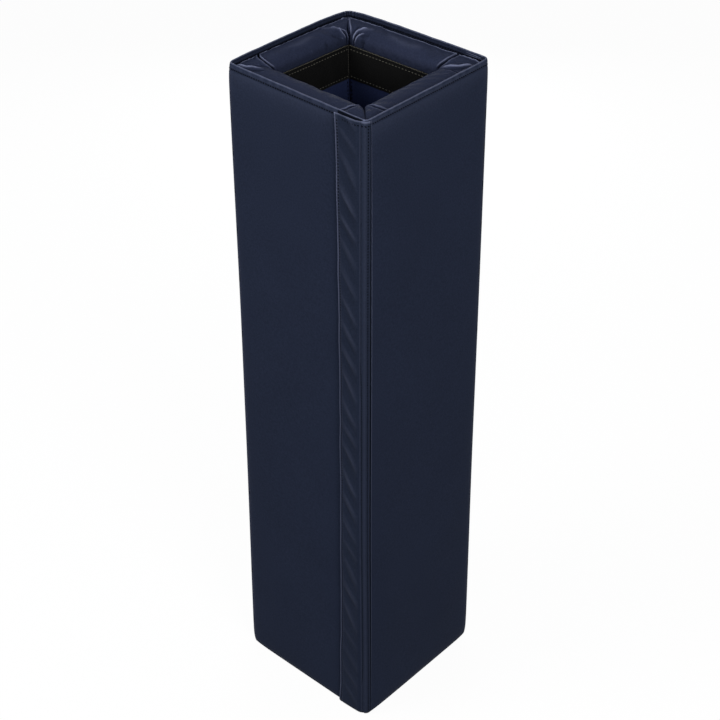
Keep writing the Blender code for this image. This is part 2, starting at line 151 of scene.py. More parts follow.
# Corners that are rounder than the frame's: plan corner, height of its end, depth from that
# end, how far in, and how far it reaches along the faces
ROUNDED = (
    ((-1, 1), HEIGHT, 0.20, 0.0080, 0.028),
    ((-1, -1), HEIGHT, 0.010, 0.0040, 0.011),
    ((1, 1), HEIGHT, 0.010, 0.0030, 0.011),
    ((1, -1), 0.0, 0.09, 0.0045, 0.018),
    ((-1, -1), 0.0, 0.009, 0.0050, 0.012),
    ((1, 1), 0.0, 0.009, 0.0050, 0.012),
)

QUARTER = {"front": 0, "right": 1, "back": 2, "left": 3}
SIDES = tuple(QUARTER)
NEXT_SIDE = {"front": "right", "right": "back", "back": "left", "left": "front"}


def body_of(side):
    return f"{side}_panel"


# Geometry helpers


def place(side, along, depth, height):
    """World points of places on a panel: along it, in from its outer face, and up."""
    turn = QUARTER[side] * math.pi / 2
    x, y, z = np.broadcast_arrays(along, np.asarray(depth) - HALF, height)
    across = x * math.cos(turn) - y * math.sin(turn)
    inward = x * math.sin(turn) + y * math.cos(turn)
    return np.stack([across, inward, z], axis=-1)


def closure_place(inward, outward, height):
    """World points measured from the right face inward and from the front face outward."""
    x, y, z = np.broadcast_arrays(HALF - np.asarray(inward), -HALF - np.asarray(outward), height)
    return np.stack([x, y, z], axis=-1)


def smooth(low, high, value):
    share = np.clip((value - low) / (high - low), 0, 1)
    return share * share * (3 - 2 * share)


def dip(value, centre, width):
    return np.exp(-(((value - centre) / width) ** 2))


def wave(value, pitch, seed):
    """Uneven ripple of about one pitch, between -1 and 1."""
    turn = 2 * math.pi * value / pitch
    slow = 1.7 * np.sin(turn / 6.3 + seed)
    return 0.6 * np.sin(turn + slow + seed) + 0.4 * np.sin(1.73 * turn - slow + 2.3 * seed)


def side_wave(side, value, pitch, seed=0):
    """Ripple that differs from side to side."""
    return wave(value, pitch, QUARTER[side] + seed)


def runs(*stretches):
    """Even places over stretches in a row, each given as its start, end and count."""
    *first, last = stretches
    return np.concatenate([*(np.linspace(*each, endpoint=False) for each in first), np.linspace(*last)])


def settle(points):
    """Move points of the squared shape to where the soft pad has drifted and rounded off."""
    x, y, z = np.moveaxis(points, -1, 0)
    across = np.clip(x / HALF, -1, 1)
    along = np.clip(y / HALF, -1, 1)
    moved = np.zeros(points.shape)
    heights = (smooth(HEIGHT - DRIFT_DEPTH, HEIGHT, z), smooth(DRIFT_DEPTH, 0, z))
    for share, drift in zip(heights, (TOP_DRIFT, FOOT_DRIFT)):
        for (corner_x, corner_y), shift in drift.items():
            near = share * (1 + corner_x * across) * (1 + corner_y * along) / 4
            moved += near[..., None] * np.array(shift)
    opening = HALF - WALL
    inner = np.where(x < -opening, (HALF + x) / WALL, (opening - x) / (2 * opening))
    inner = np.clip(inner, 0, 1)
    nearer = np.clip(-y / opening, 0, 1) ** 1.3
    pull = INNER_DRIFT + INNER_BOW * (1 - np.clip(y / opening, -1, 1) ** 2) + INNER_SKEW * nearer
    moved[..., 0] -= heights[0] * inner * pull
    by_band = smooth(BAND_LOW.z, BAND_HIGH.z, z) * smooth(HEIGHT - CREST_DROP, BAND_TOP, z)
    moved[..., 2] += BAND_RAISE * nearer * by_band * smooth(0.7, 1.0, inner) * (x < 0)
    for (corner_x, corner_y), end, decay, amount, reach in ROUNDED:
        away = np.hypot(x - corner_x * HALF, y - corner_y * HALF)
        near = np.exp(-np.abs(z - end) / decay)
        pull = near * amount * np.exp(-away / reach) * math.sqrt(0.5)
        if end and decay > 0.1:
            moved[..., 2] -= BACK_SAG * heights[0] * np.exp(-away / reach)
        moved[..., 0] -= corner_x * pull
        moved[..., 1] -= corner_y * pull
    return points + moved


def link(obj):
    bpy.context.scene.collection.objects.link(obj)
    return obj


def make_object(name, points, faces, material):
    points = settle(np.asarray(points, float).reshape(-1, 3))
    mesh = bpy.data.meshes.new(name)
    mesh.from_pydata(points.tolist(), [], faces)
    mesh.shade_smooth()
    mesh.materials.append(material)
    return link(bpy.data.objects.new(name, mesh))


def grid_faces(rows, columns, wrap=False, caps=False, flip=False):
    """Quads over a grid of points. wrap closes each row, and caps closes both ends."""
    index = np.arange(rows * columns).reshape(rows, columns)
    ends = [index[0][::-1].tolist(), index[-1].tolist()] if caps else []
    if wrap:
        index = np.hstack([index, index[:, :1]])
    quads = np.stack([index[:-1, :-1], index[:-1, 1:], index[1:, 1:], index[1:, :-1]], axis=-1)
    faces = quads.reshape(-1, 4).tolist() + ends
    return [face[::-1] for face in faces] if flip else faces


def make_piece(name, points, material, slot, body=None, node=None, painted_light=None, cloth=0.0, **grid):
    """Make a piece from a grid of points, with painted light and a cloth thickness if they are given.

    It rides on the body if one is given, and stands for the CAD node.
    """
    piece = make_object(name, points, grid_faces(*points.shape[:2], **grid), material)
    if painted_light is not None:
        painted_light = np.broadcast_to(np.asarray(painted_light, np.float32), points.shape[:2])
        piece.data.attributes.new("painted_light", "FLOAT", "POINT").data.foreach_set("value", painted_light.ravel())
    if cloth:
        solid = piece.modifiers.new("cloth_thickness", "SOLIDIFY")
        solid.thickness = cloth
        solid.offset = -1
    if body:
        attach(piece, body)
    if node:
        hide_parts(node)
    return piece


def facing(side, inward):
    """Direction into a panel from its outer face, or out of it if negative."""
    return place(side, 0.0, inward, 0.0) - place(side, 0.0, 0.0, 0.0)


def spaced_line(points, step):
    """Places and tangents at even steps along a line of points."""
    points = np.asarray(points, float)
    lengths = np.linalg.norm(np.diff(points, axis=0), axis=1)
    along = np.concatenate([[0], np.cumsum(lengths)])
    count = max(int(along[-1] / step), 1)
    at = (np.arange(count) + 0.5) * along[-1] / count

    def read(at):
        return np.stack([np.interp(at, along, points[:, k]) for k in range(3)], axis=1)

    tangents = read(at + 1e-4) - read(at - 1e-4)
    return read(at), tangents / np.linalg.norm(tangents, axis=1, keepdims=True)


# Cross section of one stitch, from end to end: share of the length and of the radius
STITCH_RINGS = ((-0.5, 0.0), (-0.42, 0.62), (-0.2, 0.95), (0.2, 0.95), (0.42, 0.62), (0.5, 0.0))
STITCH_SIDES = 6
# Kinds of stitch: pitch, length, width, slant across the row and share of the width sunk in
RIM_STITCH = (0.0042, 0.0031, 0.0021, 0.35, 0.35)
INNER_RIM_STITCH = (0.0062, 0.0036, 0.0012, 0.1, 0.35)
BAND_STITCH = (0.0056, 0.0032, 0.0010, 0.0, 0.35)
EDGING_STITCH = (0.0026, 0.0022, 0.0010, 0.5, 0.3)
SEAM_STITCH = (0.0038, 0.0032, 0.0012, 0.0, 0.3)
LINING_STITCH = (0.0062, 0.0040, 0.0016, 0.0, 0.35)
FLAP_STITCH = (0.0046, 0.0030, 0.0018, -0.22, 0.35)
ROOT_STITCH = (0.0046, 0.0030, 0.0017, 0.0, 0.35)


def stitch_row(name, lines, normals, stitch, body=None, material=None):
    """Thread lying on cloth in separate stitches, along one or more lines of points."""
    pitch, length, width, slant, sink = stitch
    points = []
    faces = []
    rings = len(STITCH_RINGS)
    for line, normal in zip(lines, normals):
        normal = np.asarray(normal, float)
        normal = normal / np.linalg.norm(normal)
        for number, (centre, tangent) in enumerate(zip(*spaced_line(line, pitch))):
            uneven = 1 + 0.06 * math.sin(2.9 * number)
            run = tangent + np.cross(tangent, normal) * slant
            run = run / np.linalg.norm(run)
            across = np.cross(run, normal)
            first = len(points)
            for share, size in STITCH_RINGS:
                middle = centre + run * share * length * uneven
                middle = middle + normal * width * (0.5 * size - sink)
                for k in range(STITCH_SIDES):
                    angle = 2 * math.pi * k / STITCH_SIDES
                    ring = across * math.cos(angle) + normal * math.sin(angle) * 0.8
                    points.append(middle + ring * width / 2 * max(size, 0.15))
            faces += (np.array(quad) + first for quad in grid_faces(rings, STITCH_SIDES, wrap=True))
            faces.append(np.arange(first, first + STITCH_SIDES)[::-1])
            faces.append(np.arange(STITCH_SIDES) + first + (rings - 1) * STITCH_SIDES)
    faces = [[int(i) for i in face] for face in faces]
    row = make_object(name, points, faces, material or DARK_THREAD)
    if body:
        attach(row, body)
    return row


# Materials


def linear(colour):
    """Linear light from 8-bit display values."""
    shares = [value / 255 for value in colour]
    return [s / 12.92 if s <= 0.04045 else ((s + 0.055) / 1.055) ** 2.4 for s in shares]


class Tree:
    """Short calls for the nodes of a material or of the world."""

    def __init__(self, owner, shader="Principled BSDF"):
        owner.use_nodes = True
        self.owner = owner
        self.nodes = owner.node_tree.nodes
        self.links = owner.node_tree.links
        self.shader = self.nodes[shader]

    def add(self, kind, settings=(), **inputs):
        node = self.nodes.new(f"ShaderNode{kind}")
        for key, value in dict(settings).items():
            setattr(node, key, value)
        return self.feed(node, **inputs)

    def feed(self, node, **inputs):
        """Set or link sockets by name, with _ for a space, or by place, as i0, i1 and on."""
        for key, value in inputs.items():
            by_place = key[0] == "i" and key[1:].isdigit()
            target = node.inputs[int(key[1:])] if by_place else node.inputs[key.replace("_", " ")]
            if isinstance(value, bpy.types.NodeSocket):
                self.links.new(value, target)
            else:
                target.default_value = value
        return node

    def surface(self, **inputs):
        self.feed(self.shader, **inputs)
        return self.owner

    def math(self, operation, first, second=0.0):
        return self.add("Math", {"operation": operation}, i0=first, i1=second).outputs[0]

    def place(self):
        return self.add("TexCoord").outputs["Object"]

    def noise(self, scale, detail):
        return self.add("TexNoise", Vector=self.place(), Scale=scale, Detail=detail).outputs["Fac"]

    def mix(self, share, first, second):
        return self.add("Mix", {"data_type": "RGBA"}, i0=share, i6=first, i7=second).outputs[2]

    def spread(self, value, low, high, start=0.0, end=1.0):
        ends = dict(From_Min=start, From_Max=end, To_Min=low, To_Max=high)
        return self.add("MapRange", Value=value, **ends).outputs[0]

    def bump(self, height, strength, distance, **normal):
        return self.add("Bump", Height=height, Strength=strength, Distance=distance, **normal).outputs[0]

    def seen(self):
        """1 for a camera ray, and for one off a shiny or through a clear surface, else 0."""
        path = self.add("LightPath").outputs
        seen = self.math("MAXIMUM", path["Is Camera Ray"], path["Is Glossy Ray"])
        return self.math("MAXIMUM", seen, path["Is Transmission Ray"])


# Colours painted in for a highlight along a fold and for shade deep in a crease
PAINTED_HIGHLIGHT_COLOUR = (128, 134, 162)
PAINTED_SHADE_COLOUR = (6, 8, 15)


def shade(colour, factor):
    return [*[c * factor for c in linear(colour)], 1]


def material_tree(name):
    return Tree(bpy.data.materials.new(name))


def vinyl(name, colour, roughness=0.42, specular=0.005):
    """Coated cloth: leather grain over a faint weave, mottled, smoother and with painted highlights on
    folds.

    The painted light attribute is 1 for a highlight on a fold, 0 on plain cloth, -1 for shade in a crease.
    """
    tree = material_tree(name)
    place = tree.place()
    mottle = tree.noise(9, 3)
    fine = tree.noise(420, 2)
    painted_light = tree.add("Attribute", {"attribute_name": "painted_light"}).outputs["Fac"]
    painted_highlight = tree.math("MAXIMUM", painted_light, 0.0)
    painted_shade = tree.math("MAXIMUM", tree.math("MULTIPLY", painted_light, -1.0), 0.0)
    clouded = tree.mix(tree.spread(mottle, 0, 1), shade(colour, 0.80), shade(colour, 1.20))
    specks = tree.mix(tree.spread(fine, 0, 1, 0.3, 0.7), shade(colour, 0.70), shade(colour, 1.30))
    flecked = tree.mix(0.45, clouded, specks)
    # Painted highlight on folds and painted shade in creases, mixed into the cloth's colour
    colour_with_highlight = tree.mix(painted_highlight, flecked, shade(PAINTED_HIGHLIGHT_COLOUR, 1))
    tree.surface(Base_Color=tree.mix(painted_shade, colour_with_highlight, shade(PAINTED_SHADE_COLOUR, 1)))
    polish = tree.math("MULTIPLY", painted_highlight, 0.10)
    rough = tree.math("SUBTRACT", tree.spread(mottle, roughness - 0.05, roughness + 0.07), polish)
    pebbles = tree.add("TexVoronoi", {"feature": "SMOOTH_F1"}, Vector=place, Scale=620.0, Smoothness=0.6)
    weave = tree.add("TexWave", {"bands_direction": "DIAGONAL"}, Vector=place, Scale=260.0, Distortion=1.5)
    broad = tree.bump(tree.noise(38, 3), 0.14, 0.0015)
    woven = tree.bump(weave.outputs["Fac"], 0.06, 0.0002, Normal=broad)
    grained = tree.bump(pebbles.outputs["Distance"], 0.25, 0.00022, Normal=woven)
    return tree.surface(Roughness=rough, Specular_IOR_Level=specular, Normal=grained)


def thread(name, colour):
    """Twisted sewing thread."""
    tree = material_tree(name)
    wavy = {"bands_direction": "DIAGONAL"}
    twist = tree.add("TexWave", wavy, Vector=tree.place(), Scale=700.0, Distortion=0.5).outputs["Fac"]
    colour = tree.mix(twist, shade(colour, 0.75), shade(colour, 1.15))
    raised = tree.bump(twist, 0.4, 0.0002)
    return tree.surface(Base_Color=colour, Roughness=0.55, Specular_IOR_Level=0.02, Normal=raised)


def pile(name, colour, scale, height):
    """Brushed loops or hooks: a matt, speckled nap."""
    tree = material_tree(name)
    nap = tree.noise(scale, 4)
    tufts = tree.add("TexVoronoi", Vector=tree.place(), Scale=scale * 0.7)
    cloud = tree.noise(45, 2)
    speck = tree.mix(tree.spread(nap, -0.6, 1.6), shade(colour, 0.35), shade(colour, 2.1))
    clouded = tree.mix(tree.spread(cloud, 0, 0.5), speck, shade(colour, 0.6))
    rough = tree.bump(tufts.outputs["Distance"], 0.6, height)
    napped = tree.bump(nap, 0.8, height, Normal=rough)
    tree.surface(Base_Color=clouded, Roughness=0.95, Specular_IOR_Level=0.01, Normal=napped)
    return tree.surface(Sheen_Weight=0.03, Sheen_Roughness=0.6)


def foam_material(name):
    """Open-cell foam, pale and porous."""
    tree = material_tree(name)
    cells = tree.add("TexVoronoi", Vector=tree.place(), Scale=750.0).outputs["Distance"]
    pores = tree.mix(tree.spread(cells, 0, 1), shade((196, 190, 170), 1), shade((232, 228, 212), 1))
    return tree.surface(Base_Color=pores, Roughness=0.95, Normal=tree.bump(cells, 0.7, 0.0008))


COVER_VINYL = vinyl("cover_vinyl", (35, 41, 57))
TOP_VINYL = vinyl("top_vinyl", (38, 43, 61))
RIM_VINYL = vinyl("rim_vinyl", (38, 44, 61), specular=0.012)
FLAP_VINYL = vinyl("flap_vinyl", (33, 39, 54), roughness=0.40, specular=0.008)
LINER_VINYL = vinyl("liner_vinyl", (38, 46, 76), roughness=0.50)
DARK_THREAD = thread("navy_thread", (7, 9, 16))
NAVY_THREAD = thread("light_navy_thread", (26, 31, 48))
PALE_THREAD = thread("grey_thread", (94, 92, 84))
DARK_GREY_THREAD = thread("dark_grey_thread", (60, 59, 55))
LOOP_PILE = pile("loop_pile", (8, 8, 8), 900.0, 0.0006)
HOOK_PILE = pile("hook_pile", (18, 18, 20), 1100.0, 0.0008)
FOAM = foam_material("foam")


# Outer covers


def wave_mask(along, height):
    """1 over a face and 0 along its edges, where it is sewn."""
    across = np.clip((along + REACH) / (2 * REACH), 0, 1)
    up = np.clip((height - BASE_RADIUS) / (RIM_SEAM - BASE_RADIUS), 0, 1)
    return (1 - (2 * across - 1) ** 6) * (1 - (2 * up - 1) ** 24)


def face_depth(side, along, height):
    """Depth of an outer cover's face: crowned, drawn in at the rim, with slack ripples."""
    low, high = -REACH, LEAF_EDGE if side == "front" else REACH
    across = np.clip((along - low) / (high - low), 0, 1)
    below = np.maximum(RIM_SEAM - height, 0)
    above = np.maximum(height - BASE_RADIUS, 0)
    crown = (1 - (2 * across - 1) ** 4) * (1 - np.exp(-below / 0.010)) * (1 - np.exp(-above / 0.010))
    bulge = FACE_BULGE * crown
    gathers = side_wave(side, along, 0.0105) * np.exp(-below / 0.012) * (1 - np.exp(-below / 0.003))
    bulge += 0.00025 * gathers * (1 - (2 * across - 1) ** 8)
    slack = side_wave(side, height + 0.4 * along, 0.31) * wave(along - 0.2 * height, 0.23, 2.0)
    bulge += 0.0005 * slack * wave_mask(along, height)
    bulge -= 0.0006 * dip(below, 0, 0.0018)
    return -bulge


def face_painted_light(side, along, height):
    """Painted highlights under the rim's puff, above the foot and by the corners; painted shade at the foot.
    """
    below = np.maximum(RIM_SEAM - height, 0)
    painted_light = 0.055 * np.exp(-below / 0.012) * (1 - np.exp(-below / 0.002))
    painted_light += 0.10 * dip(height, 0.0065, 0.0018) - 0.5 * dip(height, BASE_RADIUS, 0.0012)
    painted_light += 0.03 * np.exp(-(REACH - np.abs(along)) / 0.004)
    # Painted shade beside the closure corner on the right face, and a painted shadow under the flap's free
    # edge on the front face
    if side == "right":
        painted_light -= 0.5 * dip(along, -REACH, 0.0018)
    if side == "front":
        painted_light -= 1.3 * dip(along, LEAF_EDGE + edge_bow(height) - 0.0010, 0.0020)
    return painted_light


# Cloth settling of the covers and tops: grids held at their seams puff out together
SETTLE_FRAMES = 20
SETTLE_CLOTH = dict(
    quality=5, mass=0.3, tension_stiffness=12, compression_stiffness=12, shear_stiffness=4,
    bending_stiffness=0.4, use_pressure=True, uniform_pressure_force=4.0, shrink_min=-0.015,
    vertex_group_mass="seams",
)
# Most that a cover and a padded top puff out
COVER_PUFF = 0.0010
PAD_PUFF = 0.0012


def puff_up(patches):
    """Simulate grids of cloth under pressure, held at their edges, and return their moves."""
    scene = bpy.context.scene
    cloths = {}
    for key, points in patches.items():
        rows, columns = points.shape[:2]
        mesh = bpy.data.meshes.new("settling_cloth")
        mesh.from_pydata(points.reshape(-1, 3).tolist(), [], grid_faces(rows, columns))
        cloth = bpy.data.objects.new("settling_cloth", mesh)
        scene.collection.objects.link(cloth)
        index = np.arange(rows * columns).reshape(rows, columns)
        rim = np.concatenate([index[0], index[-1], index[:, 0], index[:, -1]])
        cloth.vertex_groups.new(name="seams").add(np.unique(rim).tolist(), 1.0, "REPLACE")
        settings = cloth.modifiers.new("settling", "CLOTH").settings
        for setting, value in SETTLE_CLOTH.items():
            setattr(settings, setting, value)
        settings.effector_weights.gravity = 0
        cloths[key] = cloth
    for number in range(1, SETTLE_FRAMES + 1):
        scene.frame_set(number)
    graph = bpy.context.evaluated_depsgraph_get()
    moves = {}
    for key, cloth in cloths.items():
        places = np.empty(patches[key].size)
        cloth.evaluated_get(graph).data.vertices.foreach_get("co", places)
        moves[key] = np.round(places.reshape(patches[key].shape) - patches[key], 5)
    for cloth in cloths.values():
        bpy.data.objects.remove(cloth)
    scene.frame_set(1)
    return moves


def capped(moves, most):
    """Moves with their lengths eased to at most a cap."""
    size = np.linalg.norm(moves, axis=-1, keepdims=True)
    return moves * most / (most + size)


def between(values, rows, columns, row_at, column_at):
    """Values of a grid, given at its row and column places, read at other places."""
    row_at, column_at = np.broadcast_arrays(row_at, column_at)
    i = np.clip(np.searchsorted(rows, row_at) - 1, 0, len(rows) - 2)
    j = np.clip(np.searchsorted(columns, column_at) - 1, 0, len(columns) - 2)
    u = np.clip((row_at - rows[i]) / (rows[i + 1] - rows[i]), 0, 1)[..., None]
    v = np.clip((column_at - columns[j]) / (columns[j + 1] - columns[j]), 0, 1)[..., None]
    u, v = u * u * (3 - 2 * u), v * v * (3 - 2 * v)
    low = values[i, j] * (1 - v) + values[i, j + 1] * v
    high = values[i + 1, j] * (1 - v) + values[i + 1, j + 1] * v
    return low * (1 - u) + high * u


COVER_ROWS = np.linspace(BASE_RADIUS, RIM_SEAM, 97)
COVER_COLUMNS = np.linspace(-REACH, REACH, 29)
PAD_ROWS = np.linspace(0, 1, 17)
PAD_COLUMNS = np.linspace(-1, 1, 57)


def cover_patch(side):
    along, height = np.meshgrid(COVER_COLUMNS, COVER_ROWS)
    start = 0.0004 * side_wave(side, along + 0.7 * height, 0.083) * wave_mask(along, height)
    return place(side, along, -start, height)


def pad_patch(side):
    depth, height, _, _ = pad_profile()
    share = profile_share(depth, height)
    depth = np.interp(PAD_ROWS, share, depth)[:, None]
    height = np.interp(PAD_ROWS, share, height)[:, None]
    along = PAD_COLUMNS[None, :] * (HALF - depth - MITRE_GAP)
    bumps = 0.0003 * side_wave(side, along + depth, 0.037, 1) * np.sin(math.pi * PAD_ROWS)[:, None]
    return place(side, along, depth, height + bumps)


def profile_share(depth, height):
    """Share of a profile's length reached at each of its points."""
    steps = np.hypot(np.diff(depth), np.diff(height))
    return np.concatenate([[0], np.cumsum(steps)]) / steps.sum()


def cover_heights():
    low, high = BASE_RADIUS, RIM_SEAM
    return runs((low, low + 0.016, 8), (low + 0.016, high - 0.040, 150), (high - 0.040, high, 30))


def make_cover(side):
    alongs = np.linspace(-REACH, REACH, 101)
    close_up = {"front": (LEAF_EDGE - 0.004, LEAF_EDGE + 0.008, 24), "right": (-REACH, -REACH + 0.010, 18)}
    if side in close_up:
        alongs = np.unique(np.concatenate([alongs, np.linspace(*close_up[side])]))
    along, height = np.meshgrid(alongs, cover_heights())
    points = place(side, along, face_depth(side, along, height), height)
    puff = between(PUFFS[side, "cover"], COVER_ROWS, COVER_COLUMNS, height, along)
    if side == "front":
        puff = puff * smooth(LEAF_EDGE - 0.002, LEAF_EDGE - 0.022, along)[..., None]
    cover = make_piece(
        f"{side}_cover", points + capped(puff, COVER_PUFF), COVER_VINYL, "navy_vinyl", body_of(side),
        f"{side}_outer_cover", painted_light=face_painted_light(side, along, height), cloth=CLOTH,
    )


# Rim


def rim_section():
    """Closed section of the stitched rim, as depth and height points."""
    radius = RIM_THICKNESS / 2
    walls = np.linspace(RIM_SEAM, HEIGHT - radius, 15)
    sunk = RIM_GROOVE * dip(walls, RIM_STITCH_HEIGHT, 0.0011)
    sunk = sunk - RIM_PUFF * dip(walls, HEIGHT - 0.0035, 0.0028)
    angles = np.radians(np.linspace(180, 0, 10))[1:-1]
    top_depth = radius + radius * np.cos(angles)
    top_height = HEIGHT - radius + radius * np.sin(angles)
    depth = np.concatenate([sunk, top_depth, (RIM_THICKNESS - sunk)[::-1]])
    return depth, np.concatenate([walls, top_height, walls[::-1]])


def rim_inner_fold(side, along):
    """How far gathers push the rim's inner wall in, near the back-left corner."""
    end = {"back": 1, "left": -1}.get(side)
    if end is None:
        return np.zeros_like(along)
    near = np.exp(-(((end * along - REACH) / 0.016) ** 2))
    return 0.0013 * near * wave(along, 0.0054, 1.0)


def rim_painted_light(depth, height):
    """Painted highlight along the folded top edge; painted shade on the inner wall and its stitch line."""
    painted_light = 0.27 * smooth(HEIGHT - 0.0014, HEIGHT - 0.0002, height)
    painted_light = painted_light + 0.03 * dip(height, HEIGHT - 0.0045, 0.002)
    inner = smooth(RIM_THICKNESS / 2, RIM_THICKNESS, depth) * (height < HEIGHT - 0.0012)
    painted_light = painted_light - 0.25 * inner * dip(height, HEIGHT - 0.0022, 0.0010)
    stitched = 0.10 * dip(height, HEIGHT - 0.0052, 0.0010) - 0.7 * dip(height, HEIGHT - 0.0082, 0.0018)
    return painted_light + inner * (stitched - 0.25)


def rim_folds(side, along, depth, height, inner):
    """Painted highlight on the back rim's long folds; painted shade on the front rim's wall under the flap.
    """
    if side == "back":
        share = np.clip((-0.082 - along) / 0.036, 0, 1)
        upper = dip(height, HEIGHT - 0.0026 - 0.0012 * share, 0.0007)
        lower = dip(height, HEIGHT - 0.0068 + 0.0012 * share, 0.0008)
        return 0.85 * (np.sin(math.pi * share) ** 0.5 * inner) * (upper + lower)
    if side == "front":
        return -0.9 * (depth < 0.001) * (height < HEIGHT - 0.0008) * (along > LEAF_EDGE + 0.001)
    return 0.0


def make_rim(side):
    depth, height = rim_section()
    along = np.repeat(np.linspace(-REACH, REACH, 240)[:, None], len(depth), axis=1)
    free = 1 - (np.abs(along) / REACH) ** 12
    inner = smooth(0.0005, RIM_THICKNESS, depth)
    up = smooth(RIM_SEAM, HEIGHT, height)
    sway = 0.0003 * side_wave(side, along, 0.067, 1) * free * up
    lift = 0.0001 * side_wave(side, along, 0.041, 3) * free * up
    fold = rim_inner_fold(side, along) * inner
    # Painted light on the rim, uneven along it; the gathers' folds get painted highlight and painted shade
    painted_light = rim_painted_light(depth, height) + 0.04 * side_wave(side, along, 0.019, 2) * up
    painted_light = painted_light + rim_folds(side, along, depth, height, inner)
    make_piece(
        f"{side}_rim", place(side, along, depth + sway + fold, height + lift), RIM_VINYL, "navy_vinyl",
        body_of(side), f"{side}_rim_hem", painted_light=painted_light + GATHER_SHINE * fold * up * (painted_light > -0.5),
        wrap=True, caps=True, flip=True,
    )
    end = LEAF_EDGE + 0.002 if side == "front" else REACH - 0.001
    outer = place(side, np.linspace(-REACH + 0.001, end, 80), RIM_GROOVE, RIM_STITCH_HEIGHT)
    inner_run = np.linspace(-REACH + 0.002, REACH - 0.002, 80)
    inner = place(side, inner_run, RIM_THICKNESS - RIM_GROOVE, RIM_STITCH_HEIGHT)
    upper = place(side, inner_run, RIM_THICKNESS, HEIGHT - 0.0042)
    out = facing(side, -1.0)
    stitch_row(f"{side}_rim_stitches", [outer, inner], [out, -out], RIM_STITCH, body_of(side))
    stitch_row(
        f"{side}_rim_inner_stitches", [upper], [-out], INNER_RIM_STITCH, body_of(side), NAVY_THREAD)


# Padded tops


def pad_profile(count_rise=36, count_roll=56):
    """Depth, height and outward normal along a padded top, from the rim seam to the band."""
    share = np.linspace(0, 1, count_rise, endpoint=False) ** 1.35
    depth = PAD_START + (PAD_CREST - PAD_START) * share
    low = HEIGHT - PAD_DROP
    rise = PAD_DROP - CREST_DROP
    height = low + rise * np.sin(share * math.pi / 2) - 0.0016 * np.exp(-share / 0.06)
    angle = np.radians(np.linspace(90, 0, count_roll))
    roll_height = HEIGHT - CREST_DROP - BAND_TOP
    depth = np.concatenate([depth, PAD_CREST + ROLL_RADIUS * np.cos(angle)])
    height = np.concatenate([height, BAND_TOP + roll_height * np.sin(angle)])
    step_depth = np.gradient(depth)
    step_height = np.gradient(height)
    size = np.hypot(step_depth, step_height)
    return depth, height, -step_height / size, step_depth / size


# Points between two places of a fold's line
CURVE_STEPS = 8


def curve_points(places):
    """Points of a smooth line through places, each pair bridged by a Catmull-Rom piece."""
    p = np.asarray(places, float) / 1000
    p = np.vstack([2 * p[0] - p[1], p, 2 * p[-1] - p[-2]])
    found = []
    for a, b, c, d in zip(p, p[1:], p[2:], p[3:]):
        for t in np.linspace(0, 1, CURVE_STEPS, endpoint=False):
            found.append(0.5 * (2 * b + (c - a) * t + (2 * a - 5 * b + 4 * c - d) * t**2
                                + (3 * b - a - 3 * c + d) * t**3))
    return np.array([*found, p[-2]])


def beside(x, y, line):
    """Signed distance from a line, positive on its left, and share of its length reached."""
    best = np.full(x.shape, np.inf)
    signed = np.zeros(x.shape)
    share = np.zeros(x.shape)
    lengths = np.linalg.norm(np.diff(line, axis=0), axis=1)
    before = np.concatenate([[0], np.cumsum(lengths)])
    for start, end, done, length in zip(line, line[1:], before, lengths):
        run = (end - start) / length
        dx, dy = x - start[0], y - start[1]
        t = np.clip(dx * run[0] + dy * run[1], 0, length)
        away = np.hypot(dx - t * run[0], dy - t * run[1])
        side = np.sign(run[0] * dy - run[1] * dx)
        closer = away < best
        best = np.where(closer, away, best)
        signed = np.where(closer, away * side, signed)
        share = np.where(closer, (done + t) / before[-1], share)
    return signed, share


# Folds of the padded top, as plan places in millimetres. A slot is a fold that overlaps: a
# narrow valley with painted shade and a lip with a painted highlight on its left. A ridge is a
# soft roll with a painted highlight, or a hollow with painted shade if negative.
SLOTS = (
    # places, depth, half width, lip, opposite lip
    (((-124, -66), (-114, -74), (-104, -79), (-93, -80.5), (-85, -78), (-78, -72.5)),
     0.0036, 0.0013, 0.0014, 0.0012),
    (((72, 78), (76, 83.5), (79.5, 92), (81, 104), (77.5, 122)), 0.0036, 0.0013, 0.0015, 0.0006),
    (((72, -121), (75, -114), (77.5, -107), (79.5, -97), (79.5, -87), (77.5, -77)),
     0.0034, 0.0013, 0.0012, 0.0003),
    (((77.5, -77), (88, -79.5), (99, -80.5), (108, -78.5), (117, -75), (122, -72)),
     0.0034, 0.0013, 0.0012, 0.0003),
    (((-71, -101), (-81, -111), (-85, -118), (-88, -124)), 0.0011, 0.0009, 0.0004, 0.0002),
    (((121, 74), (110, 71.5), (99, 68.5), (92, 69)), 0.0009, 0.0009, 0.0004, 0.0002),
)
